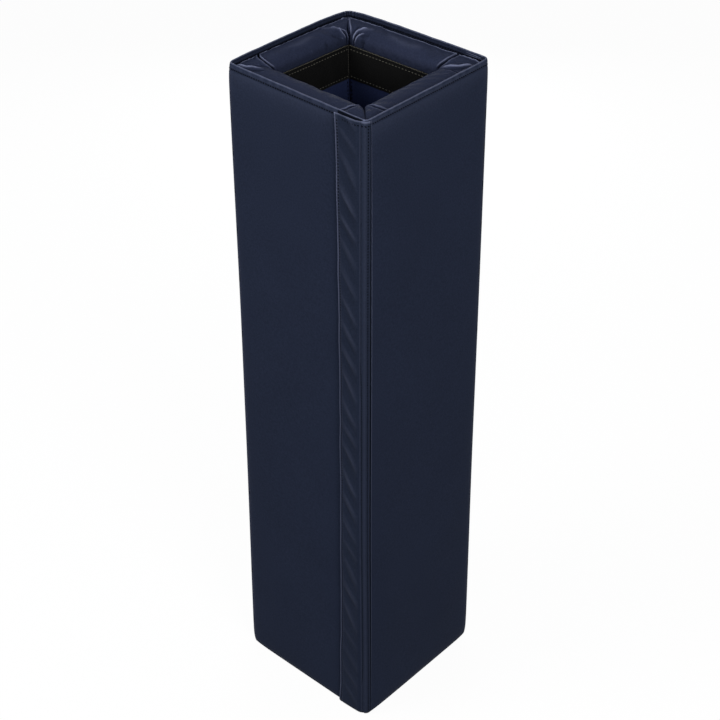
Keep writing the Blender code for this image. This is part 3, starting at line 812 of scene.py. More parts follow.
RIDGES = (
    # places, height, half width
    (((-121, -120), (-109, -116), (-98, -113), (-88, -109), (-75, -97)), 0.0028, 0.0034),
    (((-117, -111), (-104, -107), (-94, -103), (-82, -90)), -0.0016, 0.0024),
    (((-104, -120), (-94, -117), (-84, -112.5), (-72, -102)), -0.0014, 0.0022),
    (((-98, -100), (-88, -93)), 0.0009, 0.0018),
    (((-118, -122.5), (-106, -122.5), (-92, -119)), 0.0010, 0.0015),
    (((-122, -107), (-122.5, -88), (-122.5, -70)), 0.0008, 0.0014),
    (((118, 107), (110.5, 94), (102, 81), (92, 75), (82, 77)), 0.0019, 0.0026),
    (((114, 108), (104, 92), (93, 81)), -0.0014, 0.0026),
    (((118, 99), (106, 77), (96, 66)), -0.0013, 0.0026),
    (((82, 119), (95, 119.5), (106, 118.5), (114, 121)), 0.0012, 0.0020),
    (((-110, 112), (-100, 102.4), (-90, 93.4), (-83, 88), (-79, 83.7), (-75.6, 79)), 0.0020, 0.0016),
    (((-121, 100), (-119.6, 104.7), (-114.7, 107.8), (-105, 103.7), (-100, 100.3)), 0.0016, 0.0015),
    (((-93, 69), (-90, 72.8), (-86, 76.4), (-82, 76.6), (-79, 75.6), (-76.6, 74.2), (-74, 73.8)),
     0.0028, 0.0013),
    (((-103, 60), (-97, 67.3), (-91, 70.9), (-84, 70.6), (-80, 71.2), (-76.8, 71.2), (-74, 71.4)),
     0.0026, 0.0014),
    (((-84, 58), (-80, 65), (-77, 69)), 0.0010, 0.0014),
    (((-88, 72.5), (-85.3, 74), (-80, 73.8), (-77.1, 72.6), (-74.5, 72.6)), -0.0022, 0.0011),
    (((-88, 49), (-84.3, 55.3), (-82.2, 60.8), (-78.8, 66.8)), -0.0013, 0.0026),
    (((-82, 32), (-78, 36)), -0.0012, 0.0026),
    (((-81, 3), (-78, 3)), 0.0007, 0.0012),
    (((-58, 99), (-63.3, 94.2), (-67.5, 89.3), (-69.2, 85.7), (-69.6, 81), (-69, 77), (-69, 74)),
     0.0028, 0.0015),
    (((-56, 88.5), (-59, 86), (-62.4, 83), (-64.2, 80.3), (-65, 77), (-65.3, 74)), 0.0024, 0.0013),
    (((-62, 88.5), (-64, 86), (-66.4, 82.2), (-67, 79.4), (-66.8, 77), (-66.8, 74)), -0.0022, 0.0011),
    (((-74, 99), (-73, 90), (-73, 80)), -0.0014, 0.0020),
    (((-47.4, 89.3), (-51.4, 86.4), (-56.3, 84.3), (-60, 80.8)), -0.0013, 0.0026),
    (((-58, 80), (-49, 77)), -0.0013, 0.0026),
    (((-123, -118), (-110, -115), (-97, -111), (-84, -104)), 0.0016, 0.0060),
    (((119, 105), (109, 92), (99, 80), (88, 76)), 0.0014, 0.0060),
    (((-112, 52), (-101, 62), (-92, 68)), 0.0012, 0.0046),
    (((-48, 101), (-58, 97), (-66, 91)), 0.0012, 0.0046),
    (((-82.6, 84), (-81.2, 82.8), (-79.8, 81.4)), -0.0036, 0.0013),
    (((-79.0, 80), (-78.0, 79), (-77.0, 78)), -0.0036, 0.0012),
    (((-30, 98), (10, 92), (40, 97)), 0.0007, 0.0090),
    (((-98, -45), (-94, -10), (-99, 30)), 0.0007, 0.0090),
    (((30, 112), (52, 98), (66, 84)), -0.0006, 0.0060),
    (((-110, -50), (-96, -30), (-88, -12)), -0.0005, 0.0060),
)
# Painted shade that a metre of a mitre's depth takes off, and painted light that a metre of a rim's gathers
# adds or takes off
MITRE_SHADE = 280
GATHER_SHINE = 520
# How deep the mitre seam lies at each corner after a side, and how far it wanders
MITRE_DEPTH = {"front": 0.0016, "right": 0.0004, "back": 0.0006, "left": 0.0004}
MITRE_WANDER = {"front": 0.0004, "right": 0.0, "back": 0.0020, "left": 0.0}


def relief(x, y):
    """Height of the folds over a padded top at plan places, and the painted highlight and shade on them."""
    lift = np.zeros(x.shape)
    painted_light = np.zeros(x.shape)
    for places, depth, width, lip, far_lip in SLOTS:
        signed, share = beside(x, y, curve_points(places))
        fade = smooth(0, 0.10, share) * smooth(1, 0.94, share)
        swell = np.sin(math.pi * np.clip(share, 0.06, 0.94)) ** 0.4
        valley = fade * dip(signed, -0.0002, width)
        crest = fade * swell * dip(signed, 0.0026, 0.0014)
        edge = fade * swell * dip(signed, 0.0021, 0.0007)
        far_crest = fade * dip(signed, -0.0032, 0.0014)
        lift += lip * crest + far_lip * far_crest - depth * valley
        # Painted highlight on the lips, and painted shade in the valley
        strength = min(lip / 0.0014, 1)
        painted_light += strength * (0.52 * edge + 0.10 * crest + 0.20 * far_crest * (far_lip > 0))
        painted_light -= 1.3 * fade * dip(signed, -0.0004, 1.1 * width) * min(depth / 0.0025, 1)
    for places, height, width in RIDGES:
        signed, share = beside(x, y, curve_points(places))
        fade = smooth(-0.01, 0.25, share) * smooth(1.01, 0.78, share)
        roll = fade * dip(signed, 0, width)
        lift += height * roll
        # Painted highlight along a ridge, or painted shade over a hollow
        painted_highlight = fade * dip(signed, 0.25 * width, 0.55 * width)
        strength = 0.56 if width < 0.004 else 0.16
        painted_light += strength * np.clip(height / 0.0020, -1.8, 1.25) * (painted_highlight if height > 0 else roll)
    return lift, painted_light


def mitre_wander(corner, depth):
    """Sideways wander of the mitre seam at the corner after a side."""
    share = (depth - PAD_START) / (WALL - PAD_START)
    return MITRE_WANDER[corner] * np.sin(math.pi * share) * (1 + 0.5 * np.sin(3.2 * math.pi * share))


def pad_shares():
    half = runs((0, 0.45, 20), (0.45, 1, 92))
    return np.concatenate([-half[:0:-1], half])


def make_pad(side):
    profile = pad_profile()
    depth, height, out_depth, out_height = (each[:, None] for each in profile)
    share = pad_shares()[None, :]
    before = {after: first for first, after in NEXT_SIDE.items()}[side]
    limit = HALF - depth - MITRE_GAP
    high = limit + mitre_wander(side, depth)
    low = -limit + mitre_wander(before, depth)
    along = np.where(share > 0, share * high, -share * low)
    plan = place(side, along, depth, 0.0)
    lift, painted_light = relief(plan[..., 0], plan[..., 1])
    # Mitre valleys, with painted shade along them
    for gap, corner in ((high - along, side), (along - low, before)):
        gap = np.abs(gap) / math.sqrt(2)
        valley = MITRE_DEPTH[corner]
        lift -= valley * np.exp(-gap / 0.0014) + 0.35 * valley * np.exp(-gap / 0.006)
        painted_light -= MITRE_SHADE * valley * np.exp(-gap / 0.0012)
    slack = side_wave(side, along + 0.5 * depth, 0.061) * 0.00045
    lift += slack * smooth(PAD_START, 0.015, depth)
    lift += 0.0003 * side_wave(side, along, 0.013, 5) * smooth(WALL - 0.004, WALL, depth)
    lift += 0.0003 * side_wave(side, along, 0.0090, 7) * np.exp(-(depth - PAD_START) / 0.004)
    lift *= smooth(PAD_START - 0.001, PAD_START + 0.003, depth)
    # A welt line along the outer edge with a painted highlight, and painted shade beside it, at the rim's
    # foot and where the top rolls into the opening
    welt = WELT[side][0] + (WELT[side][1] - WELT[side][0]) * (share + 1) / 2
    welt = welt + 0.0003 * side_wave(side, along, 0.034, 1)
    painted_highlight = dip(depth, welt, 0.0009)
    painted_light += painted_highlight * (0.72 + 0.20 * side_wave(side, along, 0.045, 3)) * (painted_light > -0.3)
    painted_light -= 0.45 * dip(depth, welt - 0.0019, 0.0009) + 0.12 * smooth(welt, welt - 0.002, depth)
    painted_light -= 0.9 * dip(depth, PAD_START, 0.0003) + 0.35 * dip(depth, WALL, 0.0030)
    lift += 0.0007 * painted_highlight - 0.0010 * dip(depth, welt - 0.0020, 0.0011)
    lift -= 0.0014 * smooth(welt, PAD_START + 0.0005, depth)
    points = place(side, along, depth + lift * out_depth, height + lift * out_height)
    reached = profile_share(*profile[:2])[:, None]
    puff = between(PUFFS[side, "pad"], PAD_ROWS, PAD_COLUMNS, reached, share)
    pad = make_piece(
        f"{side}_top_pad", points + capped(puff, PAD_PUFF), TOP_VINYL, "top_vinyl", body_of(side),
        f"{side}_top_end", painted_light=np.clip(painted_light, -1, 0.8), cloth=CLOTH,
    )


# Loop band, lining, base and foam of a panel


def make_band(side):
    """A band of black loop pile in the opening, with a bound upper edge."""
    thickness = BAND_HIGH.y - BAND_LOW.y
    front = WALL + 0.0003
    radius = thickness * 0.45
    low, high = BAND_LOW.z, BAND_TOP
    rows = np.linspace(low + 0.004, high - 0.004, 9)
    rounding = np.concatenate([[radius, 0], 0 * rows, [0, radius]])
    depth = np.concatenate([front + thickness - rounding, [front, front]])
    height = np.concatenate([[low, low + radius], rows, [high - radius, high, high, low]])
    shares = np.linspace(-1, 1, 60)[:, None]
    along = shares * (HALF - depth - MITRE_GAP)
    ripple = 0.0002 * side_wave(side, along, 0.043, 3) * (1 - np.abs(shares) ** 6) * (depth > front)
    make_piece(
        f"{side}_band", place(side, along, depth + ripple, height), LOOP_PILE, "loop_pile",
        body_of(side), f"{side}_loop_band", wrap=True, caps=True,
    )
    face = front + thickness
    reach = HALF - face - 0.0012
    run = np.linspace(-reach, reach, 30)
    lines = [place(side, run, face, at) for at in (high - 0.0062, low + 0.0046)]
    edge = [place(side, run, face - 0.0002, high - 0.0004)]
    seam = [place(side, -reach + 0.0002, face - 0.0001, np.linspace(low + 0.001, high - 0.001, 12))]
    for part, places, material, stitch in (
        ("stitches", lines, PALE_THREAD, BAND_STITCH),
        ("edging", edge, PALE_THREAD, EDGING_STITCH),
        ("seam", seam, DARK_GREY_THREAD, SEAM_STITCH),
    ):
        normals = [facing(side, 1.0)] * len(places)
        stitch_row(f"{side}_band_{part}", places, normals, stitch, body_of(side), material)


def liner_path():
    """Plan line of the lining: up one mitre, along the inner face and down the other."""
    turn = 0.0016
    wall = np.linspace(CORNER_RADIUS + 0.006, WALL - turn, 14)
    low = np.stack([-(HALF - wall - MITRE_GAP), wall], axis=1)
    corner = HALF - WALL - MITRE_GAP
    bend = np.sin(np.radians(np.linspace(20, 80, 4)))
    round_low = np.stack([-(corner - turn * bend) - turn * 0.3, WALL - turn * (1 - bend) * 0.6], axis=1)
    inner_run = np.linspace(-(corner - 2 * turn), corner - 2 * turn, 30)
    inner = np.stack([inner_run, np.full(30, WALL)], axis=1)
    mirrored = np.vstack([low, round_low])[::-1] * (-1, 1)
    return np.vstack([low, round_low, inner, mirrored])


def make_lining(side):
    along, deep = liner_path().T
    profile = pad_profile()
    top = np.interp(deep, profile[0], profile[1]) - LINING_UNDER
    top = np.where(deep > WALL - 0.0012, BAND_TOP - 0.0005, top)
    low = BASE_INNER_RADIUS
    heights = low + (top - low)[None, :] * np.linspace(0, 1, 90)[:, None]
    inner_face = (deep > WALL - 0.0005) * (1 - (np.abs(along) / (HALF - WALL)) ** 6)
    slack = 0.0005 * (side_wave(side, heights + 0.3 * along, 0.17) - 1) * 0.5 * inner_face
    in_mitre = (deep < WALL - 0.0004) * 1.0
    # Painted shade on the lining inside the mitres, deepest near the top
    make_piece(
        f"{side}_lining", place(side, along, deep + slack, heights), LINER_VINYL, "liner_vinyl",
        body_of(side), f"{side}_inner_liner", cloth=CLOTH, flip=True,
        painted_light=-in_mitre * (0.20 + 0.65 * smooth(HEIGHT - 0.09, HEIGHT - 0.05, heights)),
    )
    upright = np.linspace(0.03, BAND_LOW.z - 0.003, 60)
    corner = HALF - WALL - 0.004
    rows = [place(side, at, WALL, upright) for at in (-corner, corner)]
    stitch_row(f"{side}_lining_stitches", rows, [facing(side, 1.0)] * 2, LINING_STITCH, body_of(side))


def base_section():
    """Depth and height across the underside, from the outer to the inner seam."""

    def turn(middle, radius, low, high, count):
        angle = np.radians(np.linspace(low, high, count))
        return np.stack([middle + radius * np.cos(angle), radius * (1 + np.sin(angle))], axis=1)

    outer = turn(BASE_RADIUS, BASE_RADIUS, 180, 270, 8)
    flat = np.stack([np.linspace(0.008, WALL - 0.006, 12), np.zeros(12)], axis=1)
    inner = turn(WALL - BASE_INNER_RADIUS, BASE_INNER_RADIUS, 270, 360, 6)
    return np.vstack([outer, flat, inner])


def make_base(side):
    depth, height = base_section().T
    limit = np.minimum(HALF - depth - MITRE_GAP, REACH)
    along = np.linspace(-1, 1, 60)[:, None] * limit
    pucker = 0.0004 * (1 + side_wave(side, along, 0.021)) * dip(depth, WALL / 2, 0.018)
    make_piece(
        f"{side}_base", place(side, along, depth, height + pucker), COVER_VINYL, "navy_vinyl",
        body_of(side), f"{side}_bottom_end", cloth=BASE_CLOTH,
    )


def make_foam(side):
    """The foam block inside a panel, with mitred ends and eased edges."""
    skin = CLOTH + 0.0006
    depth, height, out_depth, out_height = pad_profile(6, 10)
    top = np.stack([depth - out_depth * FOAM_UNDER, height - out_height * FOAM_UNDER], axis=1)
    foot = [(skin, 0.008), (skin + 0.003, 0.0035), (WALL - skin - 0.003, 0.0035), (WALL - skin, 0.006)]
    upright = np.linspace(0.05, BAND_LOW.z, 20)
    inner_side = np.stack([0 * upright + WALL - skin, upright], axis=1)
    outer_side = np.stack([0 * upright + skin, upright], axis=1)[::-1]
    depth, height = np.vstack([foot, inner_side, top[::-1], outer_side]).T
    depth = np.clip(depth, skin, WALL - skin)
    shares = np.array([-1, -0.97, -0.6, 0, 0.6, 0.97, 1])
    along = shares[:, None] * (np.minimum(HALF - depth, REACH) - FOAM_SHORT)
    make_piece(
        f"{side}_foam", place(side, along, depth, height), FOAM, "foam", body_of(side),
        f"{side}_foam_core", wrap=True, caps=True, flip=True,
    )


# Corners


def corner_skin_points(side, section_depth, section_height, angles):
    """A section turned round the hinge at the high end of a side."""
    radius = CORNER_RADIUS - section_depth
    along = REACH + radius * np.sin(angles)
    depth = CORNER_RADIUS - radius * np.cos(angles)
    return place(side, along, depth, section_height)


def base_edge_depth(height):
    """How far the rounded bottom edge lies in from the face, at a height."""
    drop = np.clip(BASE_RADIUS - height, 0, BASE_RADIUS)
    return BASE_RADIUS - np.sqrt(BASE_RADIUS**2 - drop**2)


def corner_heights():
    low = BASE_RADIUS * (1 - np.cos(np.radians(np.linspace(0, 90, 7)[:-1])))
    return np.concatenate([low, cover_heights()])


def hinge_blend(obj, side, height):
    """Bake a corner piece's transform into its mesh; the hinge's settled ends are found but not used."""
    start = settle(place(side, REACH, 0.0, height))
    end = settle(place(side, HALF, CORNER_RADIUS, height))
    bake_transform(obj)


# Heights between which a hinge's cover is one piece, since the pad drifts with height
HINGE_BANDS = (0.0, 0.05, 0.16, 0.32, 0.62, 0.72, 0.80, 0.87, 0.93, 0.98, 1.02, HEIGHT)


def make_hinge(side, name, node):
    """The cover, rim and inner roll of the sewn hinge between a side and the next one."""
    angles = np.radians(np.linspace(0, 90, 25))
    heights = corner_heights()
    inset = base_edge_depth(heights) + 0.0005 * dip(heights, RIM_SEAM, 0.0018)
    skin = corner_skin_points(side, inset[:, None], heights[:, None], angles)
    for number, (low, high) in enumerate(zip(HINGE_BANDS, HINGE_BANDS[1:])):
        first, last = np.searchsorted(heights, (low, high))
        rows = slice(max(first - 1, 0), min(last + 2, len(heights)))
        # Painted highlight over the rounded corner
        cover = make_piece(f"{name}_cover_{number}", skin[rows], COVER_VINYL, "navy_vinyl", painted_light=0.08)
        hinge_blend(cover, side, (heights[rows][0] + heights[rows][-1]) / 2)
    depth, height = rim_section()
    ring = corner_skin_points(side, depth, height, angles[:, None])
    painted_light = rim_painted_light(depth, height)
    # Painted highlight on the back corner's pleats, with faint painted shade between them
    if side == "back":
        inner_wall = (depth > RIM_THICKNESS / 2) * (height < HEIGHT - 0.0012) * (height > HEIGHT - 0.0075)
        painted_light = painted_light + 0.42 * (np.clip(wave(angles, 0.42, 2.0), -0.3, 1)[:, None] * inner_wall)
    rim = make_piece(f"{name}_rim", ring, RIM_VINYL, "navy_vinyl", painted_light=painted_light, wrap=True, flip=True)
    line = corner_skin_points(side, RIM_GROOVE, RIM_STITCH_HEIGHT, angles)
    middle = math.pi / 4
    out = corner_skin_points(side, -1.0, 0.0, middle) - corner_skin_points(side, 0.0, 0.0, middle)
    for piece in (rim, stitch_row(f"{name}_rim_stitches", [line], [out], RIM_STITCH)):
        hinge_blend(piece, side, HEIGHT - RIM_HEIGHT / 2)
    body = body_of(side)
    if node not in frame["record"]["behaviour"]["bodies"][body]:
        body = body_of(NEXT_SIDE[side])
    make_roll(f"{name}_roll", side, LINER_VINYL, body, node)


def make_end_wall(side):
    """The cover turned in at a panel's closure end, beside the corner roll."""
    depth = np.linspace(0.0010, CORNER_RADIUS + 0.0075, 8)
    heights = np.linspace(BASE_RADIUS, RIM_SEAM - 0.001, 90)[:, None]
    end = REACH - CORNER_RADIUS - 0.0001
    bow = 0.0004 * wave(heights, 0.13, 1.0) * np.sin(math.pi * np.linspace(0, 1, 8))
    # Painted shade on the turned-in cover
    make_piece(
        f"{side}_end_wall", place(side, end - 0.0004 + bow, depth, heights), COVER_VINYL, "navy_vinyl",
        body_of(side), painted_light=-0.1, cloth=END_WALL_CLOTH,
    )


def make_roll(name, side, material, body, node):
    """The corded roll inside a corner."""
    radius = CORNER_RADIUS - 0.0007
    heights = np.linspace(0.004, RIM_SEAM - 0.001, 120)[:, None]
    angles = np.radians(np.arange(0, 360, 20))
    centre = place(side, REACH, CORNER_RADIUS, 0.0)
    uneven = radius - 0.00015 * (1 + wave(heights, 0.037, 1.0))
    x, y = centre[0] + uneven * np.cos(angles), centre[1] + uneven * np.sin(angles)
    points = np.stack(np.broadcast_arrays(x, y, heights), axis=-1)
    make_piece(name, points, material, "navy_vinyl", body, node, wrap=True, caps=True)


# Closure flap


def leaf_lift(low, high, inward):
    """Rise of the leaf off its root to clear the hook tape, between two heights."""
    return low + (high - low) * smooth(FOLD_INWARD, HALF - HOOK_HIGH.x, inward)


def leaf_outward(inward):
    """Outer surface of the leaf, out from the front face."""
    out = leaf_lift(ROOT_LIFT + LEAF_THICKNESS, LEAF_LIFT + LEAF_THICKNESS, inward)
    out = out - 0.0007 * dip(inward, FREE_ROW, 0.0012)
    return out + 0.0004 * dip(inward, LEAF_REACH - 0.0018, 0.0016)


def leaf_wrinkle(inward, height):
    """Slanting wrinkles between the two stitch lines, lower towards the corner, from -1 to 1."""
    low, high = LEAF_START + 0.001, FREE_ROW - 0.001
    across = np.clip((inward - low) / (high - low), 0, 1)
    uneven = 0.008 * wave(height, 0.19, 2.0)
    turn = 2 * math.pi * (height - 1.12 * inward + uneven) / 0.0435
    broad = np.cos(turn) + 0.35 * np.cos(2 * turn + 1.1) + 0.22 * np.cos(3.3 * turn + 0.4)
    strength = (0.75 + 0.30 * wave(height, 0.27, 4.0)) * (0.5 + 0.5 * smooth(0.08, 0.45, height))
    return broad / 1.3 * strength * np.sin(math.pi * across) ** 0.7


def foot_tuck(height):
    """How far the flap's foot turns in under the pad."""
    return 0.0028 * smooth(0.008, 0.0, height)


def edge_bow(height):
    """How far the leaf's free edge bows towards the corner, at a height."""
    up = np.clip(height / HEIGHT, 0, 1)
    return FREE_EDGE_BOW * np.sin(math.pi * up) ** 0.7 - FREE_FOOT_FLARE * np.exp(-height / 0.16)


def leaf_drift(inward, height):
    """How far the leaf's free edge wanders, inward and outward."""
    free = smooth(LEAF_START, LEAF_REACH, inward)
    flare = 0.0012 * np.exp((height - LEAF_HIGH.z) / 0.03)
    along = free * (0.0004 * wave(height, 0.11, 3.0) - edge_bow(height))
    return along, free * (0.0006 * wave(height, 0.16, 1.0) + flare)


def fold_blend(piece):
    """Bake a piece of the flap's transform into its mesh; the fold's ends are found but not used."""
    start, end = (closure_place(inward, BEND_OUT, 0.5).tolist() for inward in (BEND_START, BEND_END))
    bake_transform(piece)


def thinning(heights, low, high):
    """1 over a strip and falling to 0 at its two ends, where it is pressed thin."""
    return np.sqrt(np.clip(np.minimum(heights - low, high - heights) / HEM_THINNING, 0, 1))


def make_leaf():
    radius = LEAF_THICKNESS / 2
    fold_end, edge_start = LEAF_START + 0.003, LEAF_REACH - 0.0075
    outer_in = runs(
        (FOLD_INWARD, fold_end, 10), (fold_end, edge_start, 24), (edge_start, LEAF_REACH - radius, 14),
    )[:-1]
    angles = np.radians(np.linspace(90, -90, 9))
    edge_in = LEAF_REACH - radius + radius * np.cos(angles)
    edge_out = LEAF_LIFT + radius + radius * np.sin(angles)
    under_in = np.linspace(LEAF_REACH - radius, FOLD_INWARD, 12)[1:]
    under_out = leaf_lift(ROOT_LIFT, LEAF_LIFT, under_in)
    inward = np.concatenate([outer_in, edge_in, under_in])
    outward = np.concatenate([leaf_outward(outer_in), edge_out, under_out])
    heights = np.linspace(LEAF_LOW.z, LEAF_HIGH.z, 400)[:, None]
    inward_grid, height_grid = np.broadcast_arrays(inward, heights)
    on_outer = (np.arange(len(inward)) < len(outer_in)) * 1.0
    wrinkle = leaf_wrinkle(inward_grid, height_grid) * on_outer
    flutter, sway = leaf_drift(inward_grid, height_grid)
    thin = thinning(heights, LEAF_LOW.z, LEAF_HIGH.z)
    middle = np.interp(inward_grid, under_in[::-1], under_out[::-1]) + LEAF_THICKNESS / 2
    hem = 0.0006 * dip(height_grid, LEAF_HIGH.z - FLAP_HEM, 0.0012) * on_outer
    outward_grid = outward + LEAF_WRINKLE * wrinkle - hem
    outward_grid = middle + (outward_grid - middle) * (0.25 + 0.75 * thin)
    outward_grid = outward_grid + sway - foot_tuck(height_grid)
    points = closure_place(inward_grid + flutter, outward_grid, height_grid)
    # Painted light on the flap: highlights along the free edge, the top edge, the stitch row and the fold,
    # and highlight and shade on the wrinkles
    painted_highlight = 0.34 + 0.22 * smooth(0.55, 0.90, height_grid)
    painted_light = painted_highlight * dip(inward_grid, LEAF_REACH - 0.0003, 0.0014) + 0.085 * wrinkle
    painted_light -= 0.10 * (wrinkle < 0) * np.abs(wrinkle)
    painted_light += 0.30 * dip(height_grid, LEAF_HIGH.z, 0.0010)
    painted_light += 0.06 * dip(inward_grid, FREE_ROW, 0.0022) * on_outer
    painted_light += 0.07 * smooth(LEAF_START, FOLD_INWARD, inward_grid)
    leaf = make_piece(
        "flap_leaf", points, FLAP_VINYL, "flap_vinyl", node="closure_flap", painted_light=painted_light,
        wrap=True, caps=True, flip=True,
    )
    fold_blend(leaf)
    return leaf


def flap_stitches():
    heights = np.linspace(LEAF_LOW.z + 0.006, LEAF_HIGH.z - 0.0085, 240)
    out = (0, -1, 0)
    flutter, sway = leaf_drift(FREE_ROW, heights)
    row = closure_place(FREE_ROW + flutter, leaf_outward(FREE_ROW) + sway, heights)
    upright = stitch_row("flap_stitches", [row], [out], FLAP_STITCH, "flap")
    across = np.linspace(FREE_ROW, FOLD_INWARD + 0.001, 30)
    hem = closure_place(across, leaf_outward(across) - 0.0005, LEAF_HIGH.z - FLAP_HEM)
    level = stitch_row("flap_hem_stitches", [hem], [out], RIM_STITCH)
    fold_blend(level)
    return [upright, level]


def root_outer(angles, grow):
    """Inward and outward places of the root band round the corner, grown from its inside."""
    inward = FOLD_INWARD - (FOLD_INWARD + 0.0003 + grow) * np.cos(angles)
    return inward, -CORNER_RADIUS + (CORNER_RADIUS + ROOT_LIFT + grow) * np.sin(angles)


def root_reach(height):
    """How far the root runs past the corner, on to the right panel's face."""
    return 0.0016 + 0.0038 * np.sin(math.pi * np.clip(height / HEIGHT, 0, 1)) ** 0.5


def fold_row_angle(height):
    """Where the row that holds the flap's fold runs round the corner, in degrees."""
    return 87 - 11 * smooth(0.74, 0.60, height) * smooth(0.04, 0.12, height)


def make_root():
    """The fixed root of the flap, sewn round the closure corner and on to the right face."""
    turned = np.concatenate([runs((90, 30, 28), (30, 0, 16)), np.zeros(14)])
    past = np.concatenate([np.zeros(44), np.linspace(0, 1, 15)[1:]])
    angles = np.radians(turned)
    grow = LEAF_THICKNESS - 0.0004 * dip(turned, ROOT_STITCH_ANGLE, 6)
    grow -= 0.0012 * dip(past, ROOT_GROOVE_SHARE, 0.24) + 0.0004 * smooth(0.85, 1.0, past)
    outer = root_outer(angles, grow)
    inner = root_outer(angles[::-2], 0.0)
    inward, outward = (np.concatenate(pair) for pair in zip(outer, inner))
    turned, past = (np.concatenate([each, each[::-2]]) for each in (turned, past))
    on_outer = (np.arange(len(turned)) < len(angles)) * 1.0
    heights = np.linspace(ROOT_LOW.z, ROOT_HIGH.z, 330)[:, None]
    thin = (1 - thinning(heights, ROOT_LOW.z, ROOT_HIGH.z)) * 0.0005
    hem = 0.0005 * dip(heights, ROOT_HIGH.z - FLAP_HEM, 0.0012) + thin
    sink = (hem - 0.00015 * wave(heights, 0.022, 2.0)) * on_outer + foot_tuck(heights)
    sink = sink + 0.0006 * (dip(turned, fold_row_angle(heights), 7) * on_outer)
    facing_out = np.arctan2(outward + CORNER_RADIUS, FOLD_INWARD - inward)
    inward_grid = inward + sink * np.cos(facing_out)
    outward_grid = outward - sink * np.sin(facing_out) - past * root_reach(heights)
    points = closure_place(inward_grid, outward_grid, heights)
    # Painted light on the root: faint highlight round the corner, shade in the groove past it, highlight on
    # the right cover's fold and along the top edge
    band_tone = (0.03 + 0.04 * dip(turned, 50, 14)) * on_outer
    groove = 1.3 * on_outer * dip(past, ROOT_GROOVE_SHARE, 0.22)
    painted_highlight = on_outer * dip(past, 0.90, 0.16)
    highlight_strength = 0.28 + 0.24 * smooth(0.40, 0.90, heights)
    hem_tone = 0.4 * dip(heights, ROOT_HIGH.z, 0.0012)
    make_piece(
        "flap_root", points, FLAP_VINYL, "flap_vinyl", "right_panel", "flap_root_band",
        painted_light=(band_tone - groove) + highlight_strength * painted_highlight + hem_tone * on_outer, wrap=True, caps=True,
    )
    run = np.linspace(ROOT_LOW.z + 0.005, ROOT_HIGH.z - 0.0085, 240)
    at = math.radians(ROOT_STITCH_ANGLE)
    upright = closure_place(*root_outer(at, LEAF_THICKNESS - 0.0006), run)
    inward, outward = root_outer(np.radians(fold_row_angle(run)), LEAF_THICKNESS - 0.0007)
    inward = inward + 0.0034 * (1 - smooth(0.76, 0.62, run) * smooth(0.03, 0.10, run))
    fold_line = closure_place(inward, outward, run)
    around = np.radians(np.linspace(88, 2, 12))
    level = closure_place(*root_outer(around, LEAF_THICKNESS - 0.0005), ROOT_HIGH.z - FLAP_HEM)
    normal = (math.cos(at), -math.sin(at), 0)
    stitch_row("root_stitches", [upright], [normal], ROOT_STITCH, "right_panel")
    fold_blend(stitch_row("fold_stitches", [fold_line], [(0.2, -0.98, 0)], FLAP_STITCH))
    stitch_row("root_hem_stitches", [level], [(0.7, -0.7, 0)], RIM_STITCH, "right_panel")


def make_closure_corner():
    """The stiff corner roll under the root, and the rim that turns the corner over it."""
    make_roll("closure_roll", "front", COVER_VINYL, "right_panel", "closure_corner_welt")
    depth, height = rim_section()
    angles = np.radians(np.linspace(-14, 90, 15))[:, None]
    ring = corner_skin_points("front", depth, height, angles)
    # Painted highlight on the rim's top where it turns the corner
    corner_highlight = 0.30 * dip(np.degrees(angles), 18, 14) * (height > HEIGHT - 0.004)
    make_piece(
        "closure_rim", ring, RIM_VINYL, "navy_vinyl", "right_panel",
        painted_light=rim_painted_light(depth, height) + corner_highlight, wrap=True, caps=True, flip=True,
    )


def make_tape(name, low, high, material, slot, body, node):
    """A strip of hook or loop tape with rounded long edges and an uneven nap."""
    edge = (high.y - low.y) * 0.4
    inner = np.linspace(low.x + 0.003, high.x - 0.003, 9)
    across = np.array([low.x, low.x, low.x + edge, *inner, high.x - edge, high.x, high.x])
    out = np.array([high.y, low.y + edge, *[low.y] * 11, low.y + edge, high.y])
    x, z = np.meshgrid(across, np.linspace(low.z, high.z, 160))
    y = out + 0.00015 * (1 + wave(z + x, 0.009, 1.0)) * (out < high.y - edge)
    points = np.stack([x, y, z], axis=-1)
    return make_piece(name, points, material, slot, body, node, wrap=True, caps=True)


def make_closure():
    make_closure_corner()
    make_end_wall("front")
    make_root()
    leaf = make_leaf()
    hook = make_tape("flap_hook", HOOK_LOW, HOOK_HIGH, HOOK_PILE, "hook_tape", "flap", "flap_hook_tape")
    loop = make_tape(
        "closure_loop", LOOP_LOW, LOOP_HIGH, LOOP_PILE, "loop_pile", "front_panel", "front_loop_tape")
    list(flap_stitches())


# Studio


# Camera fitted to the photo: focal length in mm, place, and how far it is turned and tilted
CAMERA_FOCAL = 91.19
CAMERA_PLACE = (1.5377, -1.6841, 2.1303)
CAMERA_AZIMUTH = 42.394
CAMERA_ELEVATION = 34.366
# Grey that the floor throws back at the pad, and how much of a shadow the camera sees on it
FLOOR_BOUNCE = (0.19, 0.20, 0.23, 1)
FLOOR_SHADOW = 0.045
WORLD_LIGHT = (0.55, 0.57, 0.60, 1)
WORLD_STRENGTH = 0.55
WORLD_SEEN = (0.99, 0.99, 0.99, 1)


def make_camera():
    azimuth, elevation = math.radians(CAMERA_AZIMUTH), math.radians(CAMERA_ELEVATION)
    level = math.cos(elevation)
    back = Vector((math.sin(azimuth) * level, -math.cos(azimuth) * level, math.sin(elevation)))
    data = bpy.data.cameras.new("camera")
    data.sensor_width = 36
    data.lens = CAMERA_FOCAL
    camera = link(bpy.data.objects.new("camera", data))
    camera.location = CAMERA_PLACE
    camera.rotation_euler = (-back).to_track_quat("-Z", "Y").to_euler()
    bpy.context.scene.camera = camera


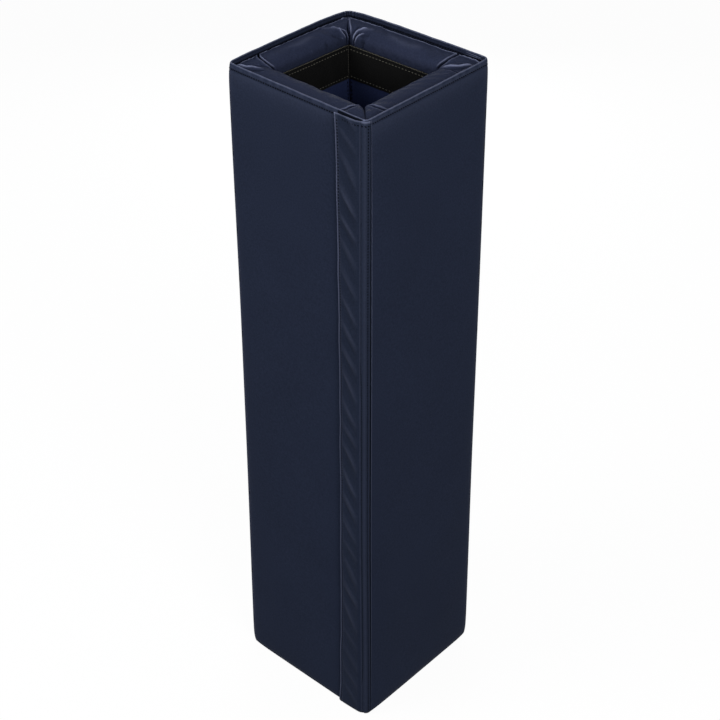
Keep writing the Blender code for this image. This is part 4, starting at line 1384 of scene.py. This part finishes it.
def make_floor():
    """A white floor: camera rays see it nearly evenly white, with a trace of shadow."""
    side = 12
    points = [(-side, -side, 0), (side, -side, 0), (side, side, 0), (-side, side, 0)]
    tree = material_tree("studio_floor")
    tree.surface(Roughness=0.9, Specular_IOR_Level=0.0)
    white = tree.add("Emission", Color=(1.0, 1.0, 1.0, 1))
    seen = tree.seen()
    tree.surface(Base_Color=tree.mix(seen, FLOOR_BOUNCE, (0.9, 0.9, 0.9, 1)))
    mixed = tree.add("MixShader", i0=tree.math("MULTIPLY", seen, 1 - FLOOR_SHADOW))
    tree.feed(mixed, i1=tree.shader.outputs[0], i2=white.outputs[0])
    tree.feed(tree.nodes["Material Output"], Surface=mixed.outputs[0])
    mesh = bpy.data.meshes.new("studio_floor")
    mesh.from_pydata(points, [], [[0, 1, 2, 3]])
    mesh.materials.append(tree.owner)
    link(bpy.data.objects.new("studio_floor", mesh))


def make_world():
    world = bpy.data.worlds.new("studio")
    bpy.context.scene.world = world
    tree = Tree(world, "Background")
    tree.surface(Color=WORLD_LIGHT, Strength=WORLD_STRENGTH)
    white = tree.add("Background", Color=WORLD_SEEN)
    mixed = tree.add("MixShader", i0=tree.seen(), i1=tree.shader.outputs[0], i2=white.outputs[0])
    tree.feed(tree.nodes["World Output"], Surface=mixed.outputs[0])


def make_lamp(name, place_at, aim_height, size, power):
    data = bpy.data.lights.new(name, "AREA")
    data.shape = "SQUARE"
    data.size = size
    data.energy = power
    lamp = link(bpy.data.objects.new(name, data))
    lamp.location = place_at
    lamp.rotation_euler = (Vector((0, 0, aim_height)) - Vector(place_at)).to_track_quat("-Z", "Y").to_euler()


# Name, place, height that it aims at, size in metres and power in watts
LAMPS = (
    ("back_softbox", (-1.0, 1.2, 3.0), 0.9, 1.6, 11),
    ("rear_softbox", (-1.5, 1.7, 0.85), 0.55, 0.9, 15),
    ("left_softbox", (-1.15, -2.2, 2.15), 0.85, 1.3, 49),
    ("right_softbox", (2.25, -0.95, 2.1), 0.85, 1.3, 52),
)


def make_studio():
    make_camera()
    make_floor()
    make_world()
    for lamp in LAMPS:
        make_lamp(*lamp)
    bpy.context.scene.view_settings.view_transform = "Standard"


make_studio()
PUFFS = puff_up({
    **{(panel, "cover"): cover_patch(panel) for panel in SIDES},
    **{(panel, "pad"): pad_patch(panel) for panel in SIDES},
})
for panel in SIDES:
    for make in (make_cover, make_rim, make_pad, make_band, make_lining, make_base, make_foam):
        make(panel)
for panel, corner in (("right", "back_right"), ("back", "back_left"), ("left", "front_left")):
    make_hinge(panel, f"{corner}_corner", f"hinge_welt_{corner}")
make_closure()
